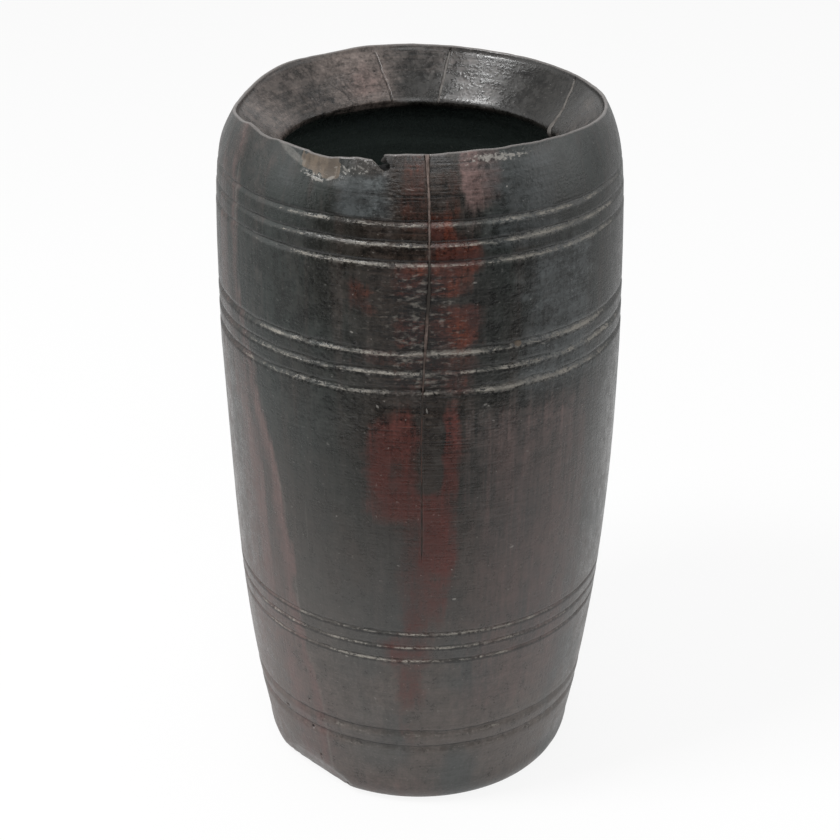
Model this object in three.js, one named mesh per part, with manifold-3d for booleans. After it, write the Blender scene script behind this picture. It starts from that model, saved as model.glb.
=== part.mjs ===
// Turned wooden milk jug, 34 cm tall. It is one hollowed log with a thin rim, a funnel mouth
// that narrows to a beaded lip, an undercut hollow and four bands of ring grooves. Three of
// its drying cracks are sealed with gum, and each seal is a piece of its own.
// Millimetres and degrees, +Z up. The origin is on the ground, on the jug's axis. Angles run
// anticlockwise from +X, so 270 is the front and 90 the back.
import * as THREE from 'three';
import { mergeVertices } from 'three/addons/utils/BufferGeometryUtils.js';
import Module from 'manifold-3d';

const wasm = await Module();
wasm.setup();

// Outside of the log
const RIM_HEIGHT = 339.9; // mean height of the rim
const RIM_RADIUS = 84.8;
const BELLY_RADIUS = 95.3;
const BELLY_HEIGHT = 225; // where the jug is widest
const FOOT_RADIUS = 78.3; // just above the rounded edge of the foot
const FOOT_ROUND_HEIGHT = 15;
const STANDING_RADIUS = 69.2; // outer edge of the flat ring that the jug stands on
const LOWER_TAPER = { drop: 5, power: 3 }; // straight drop and curve from the belly to the foot
const UPPER_TAPER = { drop: 1.2, power: 6 }; // the same from the belly to the rim
const BOW = { shift: 1.1, height: 165, reach: 75 }; // sideways bend of the log, towards +X

// Underside, turned a little hollow so that the jug stands on a ring
const HOLLOW_RADIUS = 46;
const HOLLOW_EDGE = 5; // width of the slope at the edge of the hollow
const HOLLOW_DEPTH = 2.2; // on the axis
const HOLLOW_DEPTH_AT_EDGE = 1.8;

// Mouth and inside
const RIM_EDGE = 1.7; // thickness of the wood at the rim
const BEVEL_WIDTH = 0.5;
const BEVEL_HEIGHT = 2.4; // upright band just inside the rim
const LIP_RADIUS = 63.4; // narrowest place of the mouth
const LIP_DROP = 23.4; // from the rim down to the middle of the lip's bead
const BEAD_RADIUS = 3;
const WALL = 12.6;
const CEILING_HEIGHT = 36; // over which the hollow opens out below the lip
const FLOOR_THICKNESS = 18;
const FLOOR_ROUND = 25; // radius between the wall and the floor

// Ring grooves: bands of like V cuts, the upper two set out from the rim
const NECK_BAND = { lowest: RIM_HEIGHT - 44.3, spacing: 8.65, count: 3, width: 3.6, depth: 1.1 };
const SHOULDER_BAND = { lowest: RIM_HEIGHT - 103.4, spacing: 9.35, count: 3, width: 3.8, depth: 1.2 };
const BELLY_BAND = { lowest: 93.6, spacing: 7.85, count: 3, width: 2.4, depth: 0.7 };
const FOOT_BAND = { lowest: 37.9, spacing: 9.9, count: 2, width: 5.2, depth: 0.9 };

// Warp of the rim, from drying: a tilt, two crests, and dips at the front left, left and back left
const RIM_TILT = { rise: 1.1, towards: 250 };
const RIM_WARP = { rise: 1.6, crest: 102 };
const RIM_DIPS = [
  { drop: 4.5, angle: 250, halfWidth: 26 },
  { drop: 4.9, angle: 171, halfWidth: 22 },
  { drop: 1, angle: 123, halfWidth: 10 },
];
const WARP_REACH = 24; // how far below the rim the warp fades out

// Damage: a chip at the rim, a lacing hole broken out to the rim, a worn flat on the foot
const CHIP = { angle: 242, halfWidth: 13, halfHeight: 8.5, depth: 1.2, belowRim: 4 };
const LACE_HOLE = { angle: 260.7, radius: 1.75, belowRim: 3.6 };
const BREAK = { halfWidth: 3.6, lean: 6.4 };
const FOOT_WEAR = { angle: 225, slope: 30, distance: 59.4 };

// Drying cracks. A wall crack runs up the outside, and a mouth crack down the funnel.
const FRONT_CRACK = {
  bottom: 150,
  bottomAngle: 270.2,
  bottomWidth: 1.4,
  topAngle: 272.4,
  topWidth: 2.5,
  depth: 5,
};
const FRONT_JOG = { from: 228, to: 283 }; // heights between which the front crack steps aside
const RIGHT_CRACK = { rimAngle: 28.5, lipAngle: 17.3, rimWidth: 1.5, lipWidth: 2.2, depth: 4.5 };
const BACK_CRACK = { rimAngle: 79.5, lipAngle: 82, rimWidth: 1, lipWidth: 1.2, depth: 3.5 };
const OPEN_CRACK = { rimAngle: 106.6, lipAngle: 102.4, rimWidth: 0.8, lipWidth: 1.4, depth: 3 };
const GUM_MOUND = { halfWidth: 3.4, halfLength: 3, halfHeight: 2.4 };
const SEAL_GAP = 0.3; // clearance between a seal and the wood around it

// Fineness of the faceted surfaces
const SEGMENTS = 60; // round the jug
const WALL_STEP = 18; // height of a ring of faces on the outside
const SHOULDER_STEP = 6.5; // the same where the shoulder draws in
const HOLLOW_STEP = 34; // the same in the hollow
const LEAST_STEP = 1.5;
const FOOT_TURNS = [8, 25, 50]; // degrees round the edge of the foot
const CEILING_FACETS = 7;
const ROUND_FACETS = 6; // of the lip's bead and of the round at the floor
const CRACK_STEPS = 24;
const OVERSHOOT = 6; // how far a cutter stands out of the wood

const degrees = THREE.MathUtils.degToRad;
const lerp = THREE.MathUtils.lerp;

/** Radius of the outside at a height, without the grooves. */
function plainRadius(height) {
  if (height < FOOT_ROUND_HEIGHT) {
    const below = (FOOT_ROUND_HEIGHT - height) / FOOT_ROUND_HEIGHT;
    return STANDING_RADIUS + (FOOT_RADIUS - STANDING_RADIUS) * Math.sqrt(1 - below * below);
  }
  if (height < BELLY_HEIGHT) {
    const below = (BELLY_HEIGHT - height) / (BELLY_HEIGHT - FOOT_ROUND_HEIGHT);
    return BELLY_RADIUS - narrowing(below, BELLY_RADIUS - FOOT_RADIUS, LOWER_TAPER);
  }
  const above = (height - BELLY_HEIGHT) / (RIM_HEIGHT - BELLY_HEIGHT);
  return BELLY_RADIUS - narrowing(above, BELLY_RADIUS - RIM_RADIUS, UPPER_TAPER);
}

/** How far the outside has drawn in at a share of the way from the belly to an end. */
function narrowing(share, whole, taper) {
  return taper.drop * share + (whole - taper.drop) * share ** taper.power;
}

/** Every single groove of the four bands, as its height, width and depth. */
function allGrooves() {
  return [NECK_BAND, SHOULDER_BAND, BELLY_BAND, FOOT_BAND].flatMap((band) =>
    Array.from({ length: band.count }, (_, i) => ({
      height: band.lowest + i * band.spacing,
      width: band.width,
      depth: band.depth,
    })));
}

const grooves = allGrooves();

/** Radius of the outside at a height, with the V cut of any groove there. */
function outerRadius(height) {
  const cut = grooves.map((g) => g.depth * Math.max(0, 1 - Math.abs(height - g.height) / (g.width / 2)));
  return plainRadius(height) - Math.max(...cut);
}

/** Heights from one to another in even steps of about the given size, both ends included. */
function evenHeights(from, to, step) {
  const count = Math.max(1, Math.round(Math.abs(to - from) / step));
  return Array.from({ length: count + 1 }, (_, i) => lerp(from, to, i / count));
}

/** Profile up the outside: even steps, closer at the shoulder, and three points at each groove. */
function outsideProfile() {
  const shoulderStart = RIM_HEIGHT - (RIM_HEIGHT - BELLY_HEIGHT) / 3;
  const cuts = grooves.flatMap((g) => [g.height - g.width / 2, g.height, g.height + g.width / 2]);
  const clear = (height) => cuts.every((cut) => Math.abs(cut - height) > LEAST_STEP);
  const plain = [
    ...evenHeights(FOOT_ROUND_HEIGHT, shoulderStart, WALL_STEP),
    ...evenHeights(shoulderStart, RIM_HEIGHT, SHOULDER_STEP).slice(1),
  ].filter(clear);
  const foot = FOOT_TURNS.map((turn) => FOOT_ROUND_HEIGHT * (1 - Math.cos(degrees(turn))));
  const heights = [0, ...foot, ...plain, ...cuts].sort((a, b) => a - b);
  return heights.map((height) => new THREE.Vector2(outerRadius(height), height));
}

/** Points of an arc about a centre, from one angle to another, with its own radius each way. */
function arc(centreRadius, centreHeight, across, up, from, to, steps) {
  return Array.from({ length: steps + 1 }, (_, i) => {
    const turn = degrees(lerp(from, to, i / steps));
    return new THREE.Vector2(centreRadius + across * Math.cos(turn), centreHeight + up * Math.sin(turn));
  });
}

/** The straight line down the funnel: from below the bevel to where it touches the lip's bead. */
function funnelLine() {
  const top = new THREE.Vector2(RIM_RADIUS - RIM_EDGE - BEVEL_WIDTH, RIM_HEIGHT - BEVEL_HEIGHT);
  const bead = new THREE.Vector2(LIP_RADIUS + BEAD_RADIUS, RIM_HEIGHT - LIP_DROP);
  const reach = top.clone().sub(bead);
  const touch = reach.angle() + Math.acos(BEAD_RADIUS / reach.length());
  const foot = new THREE.Vector2(Math.cos(touch), Math.sin(touch)).multiplyScalar(BEAD_RADIUS).add(bead);
  return { top, foot, bead, touch: THREE.MathUtils.radToDeg(touch) };
}

const funnel = funnelLine();

/** Profile down the inside: rim edge, bevel, funnel, bead, ceiling, wall, floor. */
function insideProfile() {
  const ceilingTop = funnel.bead.y - BEAD_RADIUS;
  const ceilingFoot = ceilingTop - CEILING_HEIGHT;
  const roomWidth = plainRadius(ceilingFoot) - WALL - funnel.bead.x;
  const wallFoot = FLOOR_THICKNESS + FLOOR_ROUND;
  const roundCentre = plainRadius(wallFoot) - WALL - FLOOR_ROUND;
  const wall = evenHeights(ceilingFoot, wallFoot, HOLLOW_STEP).slice(1, -1);
  return [
    new THREE.Vector2(RIM_RADIUS - RIM_EDGE, RIM_HEIGHT),
    funnel.top,
    ...arc(funnel.bead.x, funnel.bead.y, BEAD_RADIUS, BEAD_RADIUS, funnel.touch, 270, ROUND_FACETS),
    ...arc(funnel.bead.x, ceilingFoot, roomWidth, CEILING_HEIGHT, 90, 0, CEILING_FACETS).slice(1),
    ...wall.map((height) => new THREE.Vector2(plainRadius(height) - WALL, height)),
    ...arc(roundCentre, wallFoot, FLOOR_ROUND, FLOOR_ROUND, 0, -90, ROUND_FACETS),
    new THREE.Vector2(0, FLOOR_THICKNESS),
  ];
}

/** Profile of the underside, from the axis out to the standing ring. */
function undersideProfile() {
  return [
    new THREE.Vector2(0, HOLLOW_DEPTH),
    new THREE.Vector2(HOLLOW_RADIUS - HOLLOW_EDGE, HOLLOW_DEPTH_AT_EDGE),
    new THREE.Vector2(HOLLOW_RADIUS, 0),
  ];
}

/** How deep a dip of the rim is at an angle in degrees. */
function dipAt(dip, angle) {
  const away = THREE.MathUtils.euclideanModulo(angle - dip.angle + 180, 360) - 180;
  return dip.drop * Math.exp(-((away / dip.halfWidth) ** 2));
}

/** How far the rim stands above its mean height at an angle in degrees. */
function rimOffset(angle) {
  const tilt = RIM_TILT.rise * Math.cos(degrees(angle - RIM_TILT.towards));
  const warp = RIM_WARP.rise * Math.cos(2 * degrees(angle - RIM_WARP.crest));
  return RIM_DIPS.reduce((offset, dip) => offset - dipAt(dip, angle), tilt + warp);
}

/** Sideways shift of the jug's axis at a height. */
function bowAt(height) {
  return BOW.shift * Math.exp(-(((height - BOW.height) / BOW.reach) ** 2));
}

/** Gives the turned form what drying did to it: the bow of the log and the warp of the rim. */
function dryOut(geometry) {
  const position = geometry.getAttribute('position');
  for (let i = 0; i < position.count; i += 1) {
    const height = position.getZ(i);
    const share = THREE.MathUtils.smoothstep(height, RIM_HEIGHT - WARP_REACH, RIM_HEIGHT);
    const angle = THREE.MathUtils.radToDeg(Math.atan2(position.getY(i), position.getX(i)));
    position.setX(i, position.getX(i) + bowAt(height));
    position.setZ(i, height + share * rimOffset(angle));
  }
  return geometry;
}

/** A closed geometry as a solid that can be cut and joined. */
function toSolid(geometry) {
  const bare = geometry.clone();
  bare.deleteAttribute('normal');
  bare.deleteAttribute('uv');
  const merged = mergeVertices(bare, 1e-5);
  const index = merged.getIndex().array;
  const triangles = [];
  for (let i = 0; i < index.length; i += 3) {
    const [a, b, c] = [index[i], index[i + 1], index[i + 2]];
    if (a !== b && b !== c && c !== a) triangles.push(a, b, c);
  }
  return new wasm.Manifold(new wasm.Mesh({
    numProp: 3,
    vertProperties: new Float32Array(merged.getAttribute('position').array),
    triVerts: new Uint32Array(triangles),
  }));
}

/** A solid as a named mesh. */
function toMesh(solid, name, material) {
  const { vertProperties, triVerts } = solid.getMesh();
  const geometry = new THREE.BufferGeometry();
  geometry.setAttribute('position', new THREE.BufferAttribute(vertProperties, 3));
  geometry.setIndex(new THREE.BufferAttribute(triVerts, 1));
  geometry.computeVertexNormals();
  const mesh = new THREE.Mesh(geometry, material);
  mesh.name = name;
  return mesh;
}

/** The turned log before any damage. */
function turnedBlank() {
  const profile = [...undersideProfile(), ...outsideProfile(), ...insideProfile()];
  const lathe = new THREE.LatheGeometry(profile, SEGMENTS);
  return toSolid(dryOut(lathe.rotateX(Math.PI / 2)));
}

/** Moves a geometry made at the origin, facing +Z outwards, to the wall at an angle and height. */
function standOnWall(geometry, angle, radius, height) {
  return geometry
    .rotateX(Math.PI / 2)
    .rotateZ(degrees(angle + 90))
    .translate(radius * Math.cos(degrees(angle)), radius * Math.sin(degrees(angle)), height);
}

/** Cutter of the chip: a flat ellipsoid that dips into the outside just below the rim. */
function chipCutter() {
  const height = RIM_HEIGHT + rimOffset(CHIP.angle) - CHIP.belowRim;
  const thickness = CHIP.depth * 2;
  const ball = new THREE.SphereGeometry(1, 20, 12).scale(CHIP.halfWidth, CHIP.halfHeight, thickness);
  const radius = plainRadius(height) + thickness - CHIP.depth;
  return toSolid(standOnWall(ball, CHIP.angle, radius, height));
}

/** Cutter of the lacing hole and of the leaning break from it up through the rim. */
function laceHoleCutter() {
  const height = RIM_HEIGHT + rimOffset(LACE_HOLE.angle) - LACE_HOLE.belowRim;
  const drill = new THREE.CylinderGeometry(LACE_HOLE.radius, LACE_HOLE.radius, 1, 20);
  drill.rotateX(Math.PI / 2).scale(1, 1, OVERSHOOT * 2);
  const top = LACE_HOLE.belowRim + OVERSHOOT;
  const outline = new THREE.Shape([
    new THREE.Vector2(0, -LACE_HOLE.radius / 2),
    new THREE.Vector2(-BREAK.lean + BREAK.halfWidth, top),
    new THREE.Vector2(-BREAK.lean - BREAK.halfWidth, top),
  ]);
  const split = new THREE.ExtrudeGeometry(outline, { depth: OVERSHOOT * 2, bevelEnabled: false });
  split.translate(0, 0, -OVERSHOOT);
  const radius = plainRadius(height);
  const hole = toSolid(standOnWall(drill, LACE_HOLE.angle, radius, height));
  return hole.add(toSolid(standOnWall(split, LACE_HOLE.angle, radius, height)));
}

/** Cutter of the flat that wear has left on the edge of the foot. */
function footWearCutter() {
  const side = BELLY_RADIUS;
  const block = new THREE.BoxGeometry(side, side, side);
  block.translate(FOOT_WEAR.distance + side / 2, 0, 0);
  block.rotateY(degrees(FOOT_WEAR.slope)).rotateZ(degrees(FOOT_WEAR.angle));
  return toSolid(block);
}

/**
 * A long thin box bent into the wood along a crack. trackAt(share) gives the crack's place at a
 * share of its length: its angle, its point on the surface, the way into the wood and its width.
 * The box stands out of the surface by OVERSHOOT and goes in by the depth.
 */
function crackBox(trackAt, depth, gap) {
  const box = new THREE.BoxGeometry(1, 1, 1, 1, 1, CRACK_STEPS).translate(0, 0.5, 0.5);
  const position = box.getAttribute('position');
  for (let i = 0; i < position.count; i += 1) {
    const { angle, radius, height, into, width } = trackAt(position.getZ(i));
    const inwards = lerp(-OVERSHOOT, depth + gap, position.getY(i));
    const sideways = position.getX(i) * (width + 2 * gap);
    const r = radius + into.x * inwards;
    const turn = degrees(angle);
    position.setXYZ(
      i,
      r * Math.cos(turn) - sideways * Math.sin(turn),
      r * Math.sin(turn) + sideways * Math.cos(turn),
      height + into.y * inwards,
    );
  }
  return toSolid(box);
}

/** Solid of a crack up the outside of the wall, through the rim. */
function wallCrack(crack, gap) {
  const into = new THREE.Vector2(-1, 0);
  const bottom = crack.bottom - gap;
  return crackBox((share) => {
    const height = lerp(bottom, RIM_HEIGHT + OVERSHOOT, share);
    const aside = THREE.MathUtils.smoothstep(height, FRONT_JOG.from, FRONT_JOG.to);
    return {
      angle: lerp(crack.bottomAngle, crack.topAngle, aside),
      radius: plainRadius(Math.min(height, RIM_HEIGHT)),
      height,
      into,
      width: lerp(crack.bottomWidth, crack.topWidth, share),
    };
  }, crack.depth, gap);
}

/** Solid of a crack down the funnel, from above the rim to past the lip's bead. */
function mouthCrack(crack, gap) {
  const down = funnel.foot.clone().sub(funnel.top);
  const into = new THREE.Vector2(-down.y, down.x).normalize();
  const spare = OVERSHOOT / down.length();
  return crackBox((share) => {
    const along = lerp(-spare, 1 + spare, share);
    return {
      angle: lerp(crack.rimAngle, crack.lipAngle, along),
      radius: funnel.top.x + down.x * along,
      height: funnel.top.y + down.y * along,
      into,
      width: lerp(crack.rimWidth, crack.lipWidth, share),
    };
  }, crack.depth, gap);
}

/** The mound of gum at the foot of the right crack, on the lip's bead. */
function gumMound(gap) {
  const ball = new THREE.SphereGeometry(1, 16, 10);
  ball.scale(GUM_MOUND.halfWidth + gap, GUM_MOUND.halfHeight + gap, GUM_MOUND.halfLength + gap);
  const height = funnel.foot.y;
  return toSolid(standOnWall(ball, RIGHT_CRACK.lipAngle, funnel.foot.x + BEAD_RADIUS / 2, height));
}

const smokedWood = new THREE.MeshStandardMaterial({ color: 0x4b4a45, roughness: 0.5, metalness: 0 });
const driedGum = new THREE.MeshStandardMaterial({ color: 0x665a51, roughness: 0.65, metalness: 0 });

const blank = turnedBlank();

/** The log with its damage and with the slots that the seals sit in. */
function jugBody() {
  const cutters = [
    chipCutter(),
    laceHoleCutter(),
    footWearCutter(),
    wallCrack(FRONT_CRACK, SEAL_GAP),
    mouthCrack(RIGHT_CRACK, SEAL_GAP),
    gumMound(SEAL_GAP),
    mouthCrack(BACK_CRACK, SEAL_GAP),
    mouthCrack(OPEN_CRACK, 0),
  ];
  return cutters.reduce((solid, cutter) => solid.subtract(cutter), blank);
}

const jug = new THREE.Group();
jug.add(
  toMesh(jugBody(), 'jug_body', smokedWood),
  toMesh(blank.intersect(wallCrack(FRONT_CRACK, 0)), 'front_crack_seal', driedGum),
  toMesh(blank.intersect(mouthCrack(RIGHT_CRACK, 0)).add(gumMound(0)), 'right_crack_seal', driedGum),
  toMesh(blank.intersect(mouthCrack(BACK_CRACK, 0)), 'back_crack_seal', driedGum),
);

export default jug;
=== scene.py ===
"""Looks of the turned wooden milk jug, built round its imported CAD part.

Sizes are written in millimetres and angles in degrees, anticlockwise from +X, so 270 is the
front and 90 the back. Every mesh is scaled to metres as it is made.
"""
import logging
import math
from dataclasses import dataclass, field
from enum import Enum
from typing import Any, Callable, Mapping, Sequence

import bpy
import numpy as np
from mathutils import Matrix, Vector


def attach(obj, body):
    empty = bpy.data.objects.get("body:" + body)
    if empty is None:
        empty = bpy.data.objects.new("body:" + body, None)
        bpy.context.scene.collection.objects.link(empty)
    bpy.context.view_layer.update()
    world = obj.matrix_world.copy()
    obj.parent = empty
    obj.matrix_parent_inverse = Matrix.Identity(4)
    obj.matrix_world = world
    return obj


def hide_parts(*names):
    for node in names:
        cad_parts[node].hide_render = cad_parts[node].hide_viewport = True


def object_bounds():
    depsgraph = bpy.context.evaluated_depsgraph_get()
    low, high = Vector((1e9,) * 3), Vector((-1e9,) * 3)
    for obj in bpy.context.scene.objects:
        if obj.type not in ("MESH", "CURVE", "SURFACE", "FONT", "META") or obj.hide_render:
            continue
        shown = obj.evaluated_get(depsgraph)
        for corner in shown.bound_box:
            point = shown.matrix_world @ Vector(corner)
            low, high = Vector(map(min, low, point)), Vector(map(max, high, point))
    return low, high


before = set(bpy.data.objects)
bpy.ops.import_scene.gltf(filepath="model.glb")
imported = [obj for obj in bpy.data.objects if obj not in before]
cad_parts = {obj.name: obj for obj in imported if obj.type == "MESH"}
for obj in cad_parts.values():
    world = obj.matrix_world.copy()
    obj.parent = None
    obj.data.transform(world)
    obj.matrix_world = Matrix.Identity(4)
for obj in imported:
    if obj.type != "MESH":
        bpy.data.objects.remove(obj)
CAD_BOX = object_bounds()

MM = 0.001
FAR = 9.0  # mm, stands for out of reach in a field of distances
log = logging.getLogger("milk_jug")

Array = np.ndarray
Colour = tuple[float, float, float]
Pairs = tuple[tuple[float, float], ...]


def smooth(x: Array | float, low: float, high: float) -> Array:
    """Rises from 0 at low to 1 at high as 3t^2 - 2t^3, and falls where low is above high."""
    t = np.clip((np.asarray(x, float) - low) / (high - low), 0, 1)
    return t * t * (3 - 2 * t)


def turned_by(angle: Array | float, reference: Array | float) -> Array:
    """Difference of an angle from a reference, from -180 to 180 degrees."""
    return (np.asarray(angle, float) - reference + 180) % 360 - 180


def bell(x: Array | float, centre: float, width: float) -> Array:
    """The bell exp(-((x - centre) / width)^2)."""
    return np.exp(-(((np.asarray(x, float) - centre) / width) ** 2))


def bell_round(angle: Array | float, centre: float, width: float) -> Array:
    """The bell of an angle's difference from a centre, closed round the jug."""
    return bell(turned_by(angle, centre), 0, width)


def along(place: Array | float, pairs: Pairs) -> Array:
    """Value at a place between pairs of place and value, joined by straight lines."""
    places, values = np.array(pairs).T
    return np.interp(place, places, values)


def rows_of(kind: type, *rows: tuple) -> tuple:
    """One object of a kind for each row of its values."""
    return tuple(kind(*row) for row in rows)


@dataclass(frozen=True)
class Wander:
    """Seeded unevenness over angle and height, from -1 to 1.

    Formula: random numbers on a lattice that closes round the jug, joined by cubic steps.

    Attributes:
        seed: Seed of the random numbers.
        across: Width of one swell round the jug.
        up: Height of one swell.
        round_length: Length once round the jug.
        rows: Number of rows of the lattice before it repeats.
    """

    seed: int
    across: float
    up: float
    round_length: float = 590.0
    rows: int = 256

    def at(self, angle: Array | float, height: Array | float) -> Array:
        """Unevenness at angles in degrees and heights in mm.

        Args:
            angle: Angles round the axis.
            height: Heights, or any second length.

        Returns:
            Values from -1 to 1 of the broadcast shape.
        """
        cells = max(3, round(self.round_length / self.across))
        table = np.random.default_rng(self.seed).uniform(-1, 1, (cells, self.rows))
        u = np.mod(np.asarray(angle, float) / 360, 1) * cells
        v = np.asarray(height, float) / self.up + 17.3
        u, v = np.broadcast_arrays(u, v)
        i, j = np.floor(u).astype(int), np.floor(v).astype(int)
        fu, fv = smooth(u - i, 0, 1), smooth(v - j, 0, 1)
        i0, i1, j0, j1 = i % cells, (i + 1) % cells, j % self.rows, (j + 1) % self.rows
        low = table[i0, j0] * (1 - fu) + table[i1, j0] * fu
        high = table[i0, j1] * (1 - fu) + table[i1, j1] * fu
        return low * (1 - fv) + high * fv


@dataclass(frozen=True)
class Band:
    """A band of like ring grooves.

    Attributes:
        lowest: Height of the lowest groove.
        spacing: Distance between two grooves.
        count: Number of grooves.
        width: Width of one cut.
        depth: Depth of one cut.
        wobble: How far a cut wanders up and down.
        tilt: How much higher the band stands at the left than at the axis.
        seed: Seed of its wandering.
        wear: Pairs of angle and how strongly the edges are scuffed there, from 0 to 1.
        shade_at: Height of the line of painted shade over the middle of a cut.
    """

    lowest: float
    spacing: float
    count: int
    width: float
    depth: float
    wobble: float
    tilt: float
    seed: int
    wear: Pairs
    shade_at: float = 1.0

    def centre(self, index: int, angle: Array) -> Array:
        """Height of the middle of one groove at an angle, with its tilt and wandering."""
        fine = Wander(self.seed + index, 3.1, 10).at(angle, 0)
        broad = Wander(self.seed + index + 20, 16, 10).at(angle, 0)
        lean = self.tilt * np.cos(np.radians(angle - 180))
        handmade = self.wobble * (0.45 * fine * self.worn(angle) + 0.75 * broad)
        return self.lowest + index * self.spacing + lean + handmade

    def worn(self, angle: Array) -> Array:
        """How strongly the edges are scuffed at an angle."""
        return along(np.mod(angle, 360), self.wear)


@dataclass(frozen=True)
class RimDip:
    """A place where the rim has sunk or worn down, as a bell over the angle."""

    drop: float
    angle: float
    half_width: float


@dataclass(frozen=True)
class Log:
    """Sizes of the turned log, the same as those of the CAD part.

    Attributes:
        lower_taper: Straight part of the draw-in below the belly, and the power of the rest.
        upper_taper: The same above the belly.
        bow: How far the log bends towards +X, at what height, and how far the bend reaches.
        bevel: Width and height of the bevel inside the rim.
        rim_tilt: How far the rim leans up, and towards what angle.
        rim_warp: Height of the rim's two crests, and the angle of one of them.
        rim_line: Pairs of angle and height of the small ups and downs along the front rim.
    """

    rim_height: float = 339.9
    rim_radius: float = 84.8
    belly_radius: float = 95.3
    belly_height: float = 225.0
    foot_radius: float = 78.3
    foot_round: float = 15.0
    standing_radius: float = 69.2
    lower_taper: tuple[float, float] = (5.0, 3.0)
    upper_taper: tuple[float, float] = (1.2, 6.0)
    bow: tuple[float, float, float] = (1.1, 165.0, 75.0)
    rim_edge: float = 1.7
    rim_rounding: float = 0.5
    bevel: tuple[float, float] = (0.5, 2.4)
    lip_radius: float = 63.4
    lip_drop: float = 23.4
    bead: float = 3.0
    wall: float = 12.6
    ceiling: float = 36.0
    floor: float = 18.0
    floor_round: float = 25.0
    rim_tilt: tuple[float, float] = (1.1, 250.0)
    rim_warp: tuple[float, float] = (1.6, 102.0)
    warp_reach: float = 24.0
    dips: tuple[RimDip, ...] = (
        RimDip(4.5, 250.0, 26.0),
        RimDip(4.9, 171.0, 22.0),
        RimDip(1.0, 123.0, 10.0),
    )
    rim_line: Pairs = (
        (236, 0.0), (237.5, -0.65), (243, -0.7), (245, -0.35), (248, 0.1), (250.5, 0.5),
        (252.5, 0.5), (254, 0.3), (255.7, -0.1), (257.5, 0.4), (259.3, 1.8), (260.8, 1.9),
        (262.5, 1.6), (266, 1.45), (267.5, 1.2), (269.2, 0.8), (271, 0.5), (272.6, 0.1),
        (276, 0.05), (288, 0.0), (292, -0.35), (295, -0.3), (297, 0.15), (301, 0.45), (303, 0.1),
        (307, -0.4), (310, 0.0))
    neck: Band = Band(
        lowest=295.6, spacing=8.65, count=3, width=3.1, depth=0.85, wobble=0.35, tilt=0.0, seed=300,
        wear=((0, 0.1), (195, 0.1), (222, 0.14), (230, 0.3), (236, 0.85), (264, 0.75), (284, 0.75),
              (300, 1.1), (324, 1.0), (338, 0.25)))
    shoulder: Band = Band(
        lowest=236.5, spacing=9.35, count=3, width=3.6, depth=1.05, wobble=0.5, tilt=0.0, seed=350,
        wear=((0, 0.1), (195, 0.15), (214, 0.3), (232, 0.7), (258, 0.9), (280, 0.95), (295, 1.25),
              (325, 1.25), (340, 0.6), (352, 0.15)),
        shade_at=-2.5)
    belly: Band = Band(
        lowest=93.6, spacing=7.85, count=3, width=2.3, depth=0.6, wobble=0.2, tilt=1.1, seed=400,
        wear=((0, 0.05), (200, 0.2), (214, 0.4), (235, 0.6), (246, 0.85), (264, 0.75), (295, 0.85),
              (315, 0.6), (330, 0.2), (345, 0.05)),
        shade_at=-1.7)
    foot: Band = Band(
        lowest=37.9, spacing=9.9, count=2, width=5.0, depth=1.15, wobble=0.3, tilt=0.4, seed=450,
        wear=((0, 0.02), (225, 0.1), (250, 0.4), (285, 0.5), (315, 0.5), (335, 0.1)))

    @property
    def bands(self) -> tuple[Band, ...]:
        """The four bands of grooves, from the rim down."""
        return self.neck, self.shoulder, self.belly, self.foot

    @property
    def grooves(self) -> list[tuple[Band, int]]:
        """Every groove, as its band and its number in the band."""
        return [(band, k) for band in self.bands for k in range(band.count)]

    def plain_radius(self, height: Array | float) -> Array:
        """Radius of the outside without grooves.

        Formula: a quarter ellipse up to the foot's round, then from the belly to either end
        belly - (drop * u + (whole - drop) * u^power), where u is the share of the way.
        """
        z = np.asarray(height, float)
        low = np.clip((self.foot_round - z) / self.foot_round, 0, 1)
        spread = self.foot_radius - self.standing_radius
        foot = self.standing_radius + spread * np.sqrt(1 - low**2)
        down = np.clip((self.belly_height - z) / (self.belly_height - self.foot_round), 0, 1)
        up = np.clip((z - self.belly_height) / (self.rim_height - self.belly_height), 0, 1)
        (d1, p1), (d2, p2) = self.lower_taper, self.upper_taper
        below = d1 * down + (self.belly_radius - self.foot_radius - d1) * down**p1
        above = d2 * up + (self.belly_radius - self.rim_radius - d2) * up**p2
        return np.where(z < self.foot_round, foot, self.belly_radius - below - above)

    def shift(self, height: Array) -> Array:
        """Sideways bend of the log towards +X, as a bell over the height."""
        amount, centre, reach = self.bow
        return amount * bell(height, centre, reach)

    def rim_offset(self, angle: Array) -> Array:
        """How far the rim stands above its mean height: a tilt, two crests and the dips."""
        rise, towards = self.rim_tilt
        crest_rise, crest = self.rim_warp
        offset = rise * np.cos(np.radians(angle - towards))
        offset = offset + crest_rise * np.cos(2 * np.radians(angle - crest))
        for dip in self.dips:
            offset = offset - dip.drop * bell_round(angle, dip.angle, dip.half_width)
        return offset

    def rim_nicks(self, angle: Array) -> Array:
        """Kinks, chips and the raised run beside the lace hole, on top of the rim's offset."""
        kink = 1.25 * bell_round(angle, 209.0, 3.4) - 0.9 * bell_round(angle, 219, 4)
        step = -0.5 * bell_round(angle, 300, 5)
        fine = Wander(11, 4.2, 10).at(angle, 0) * 0.16 + Wander(12, 14, 10).at(angle, 0) * 0.22
        return kink + step + fine - 0.38 + along(np.mod(angle, 360), self.rim_line)

    def warp_share(self, height: Array) -> Array:
        """Share of the rim's offset that a height follows: 0 well below the rim, 1 at the rim."""
        return smooth(height, self.rim_height - self.warp_reach, self.rim_height)

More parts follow.
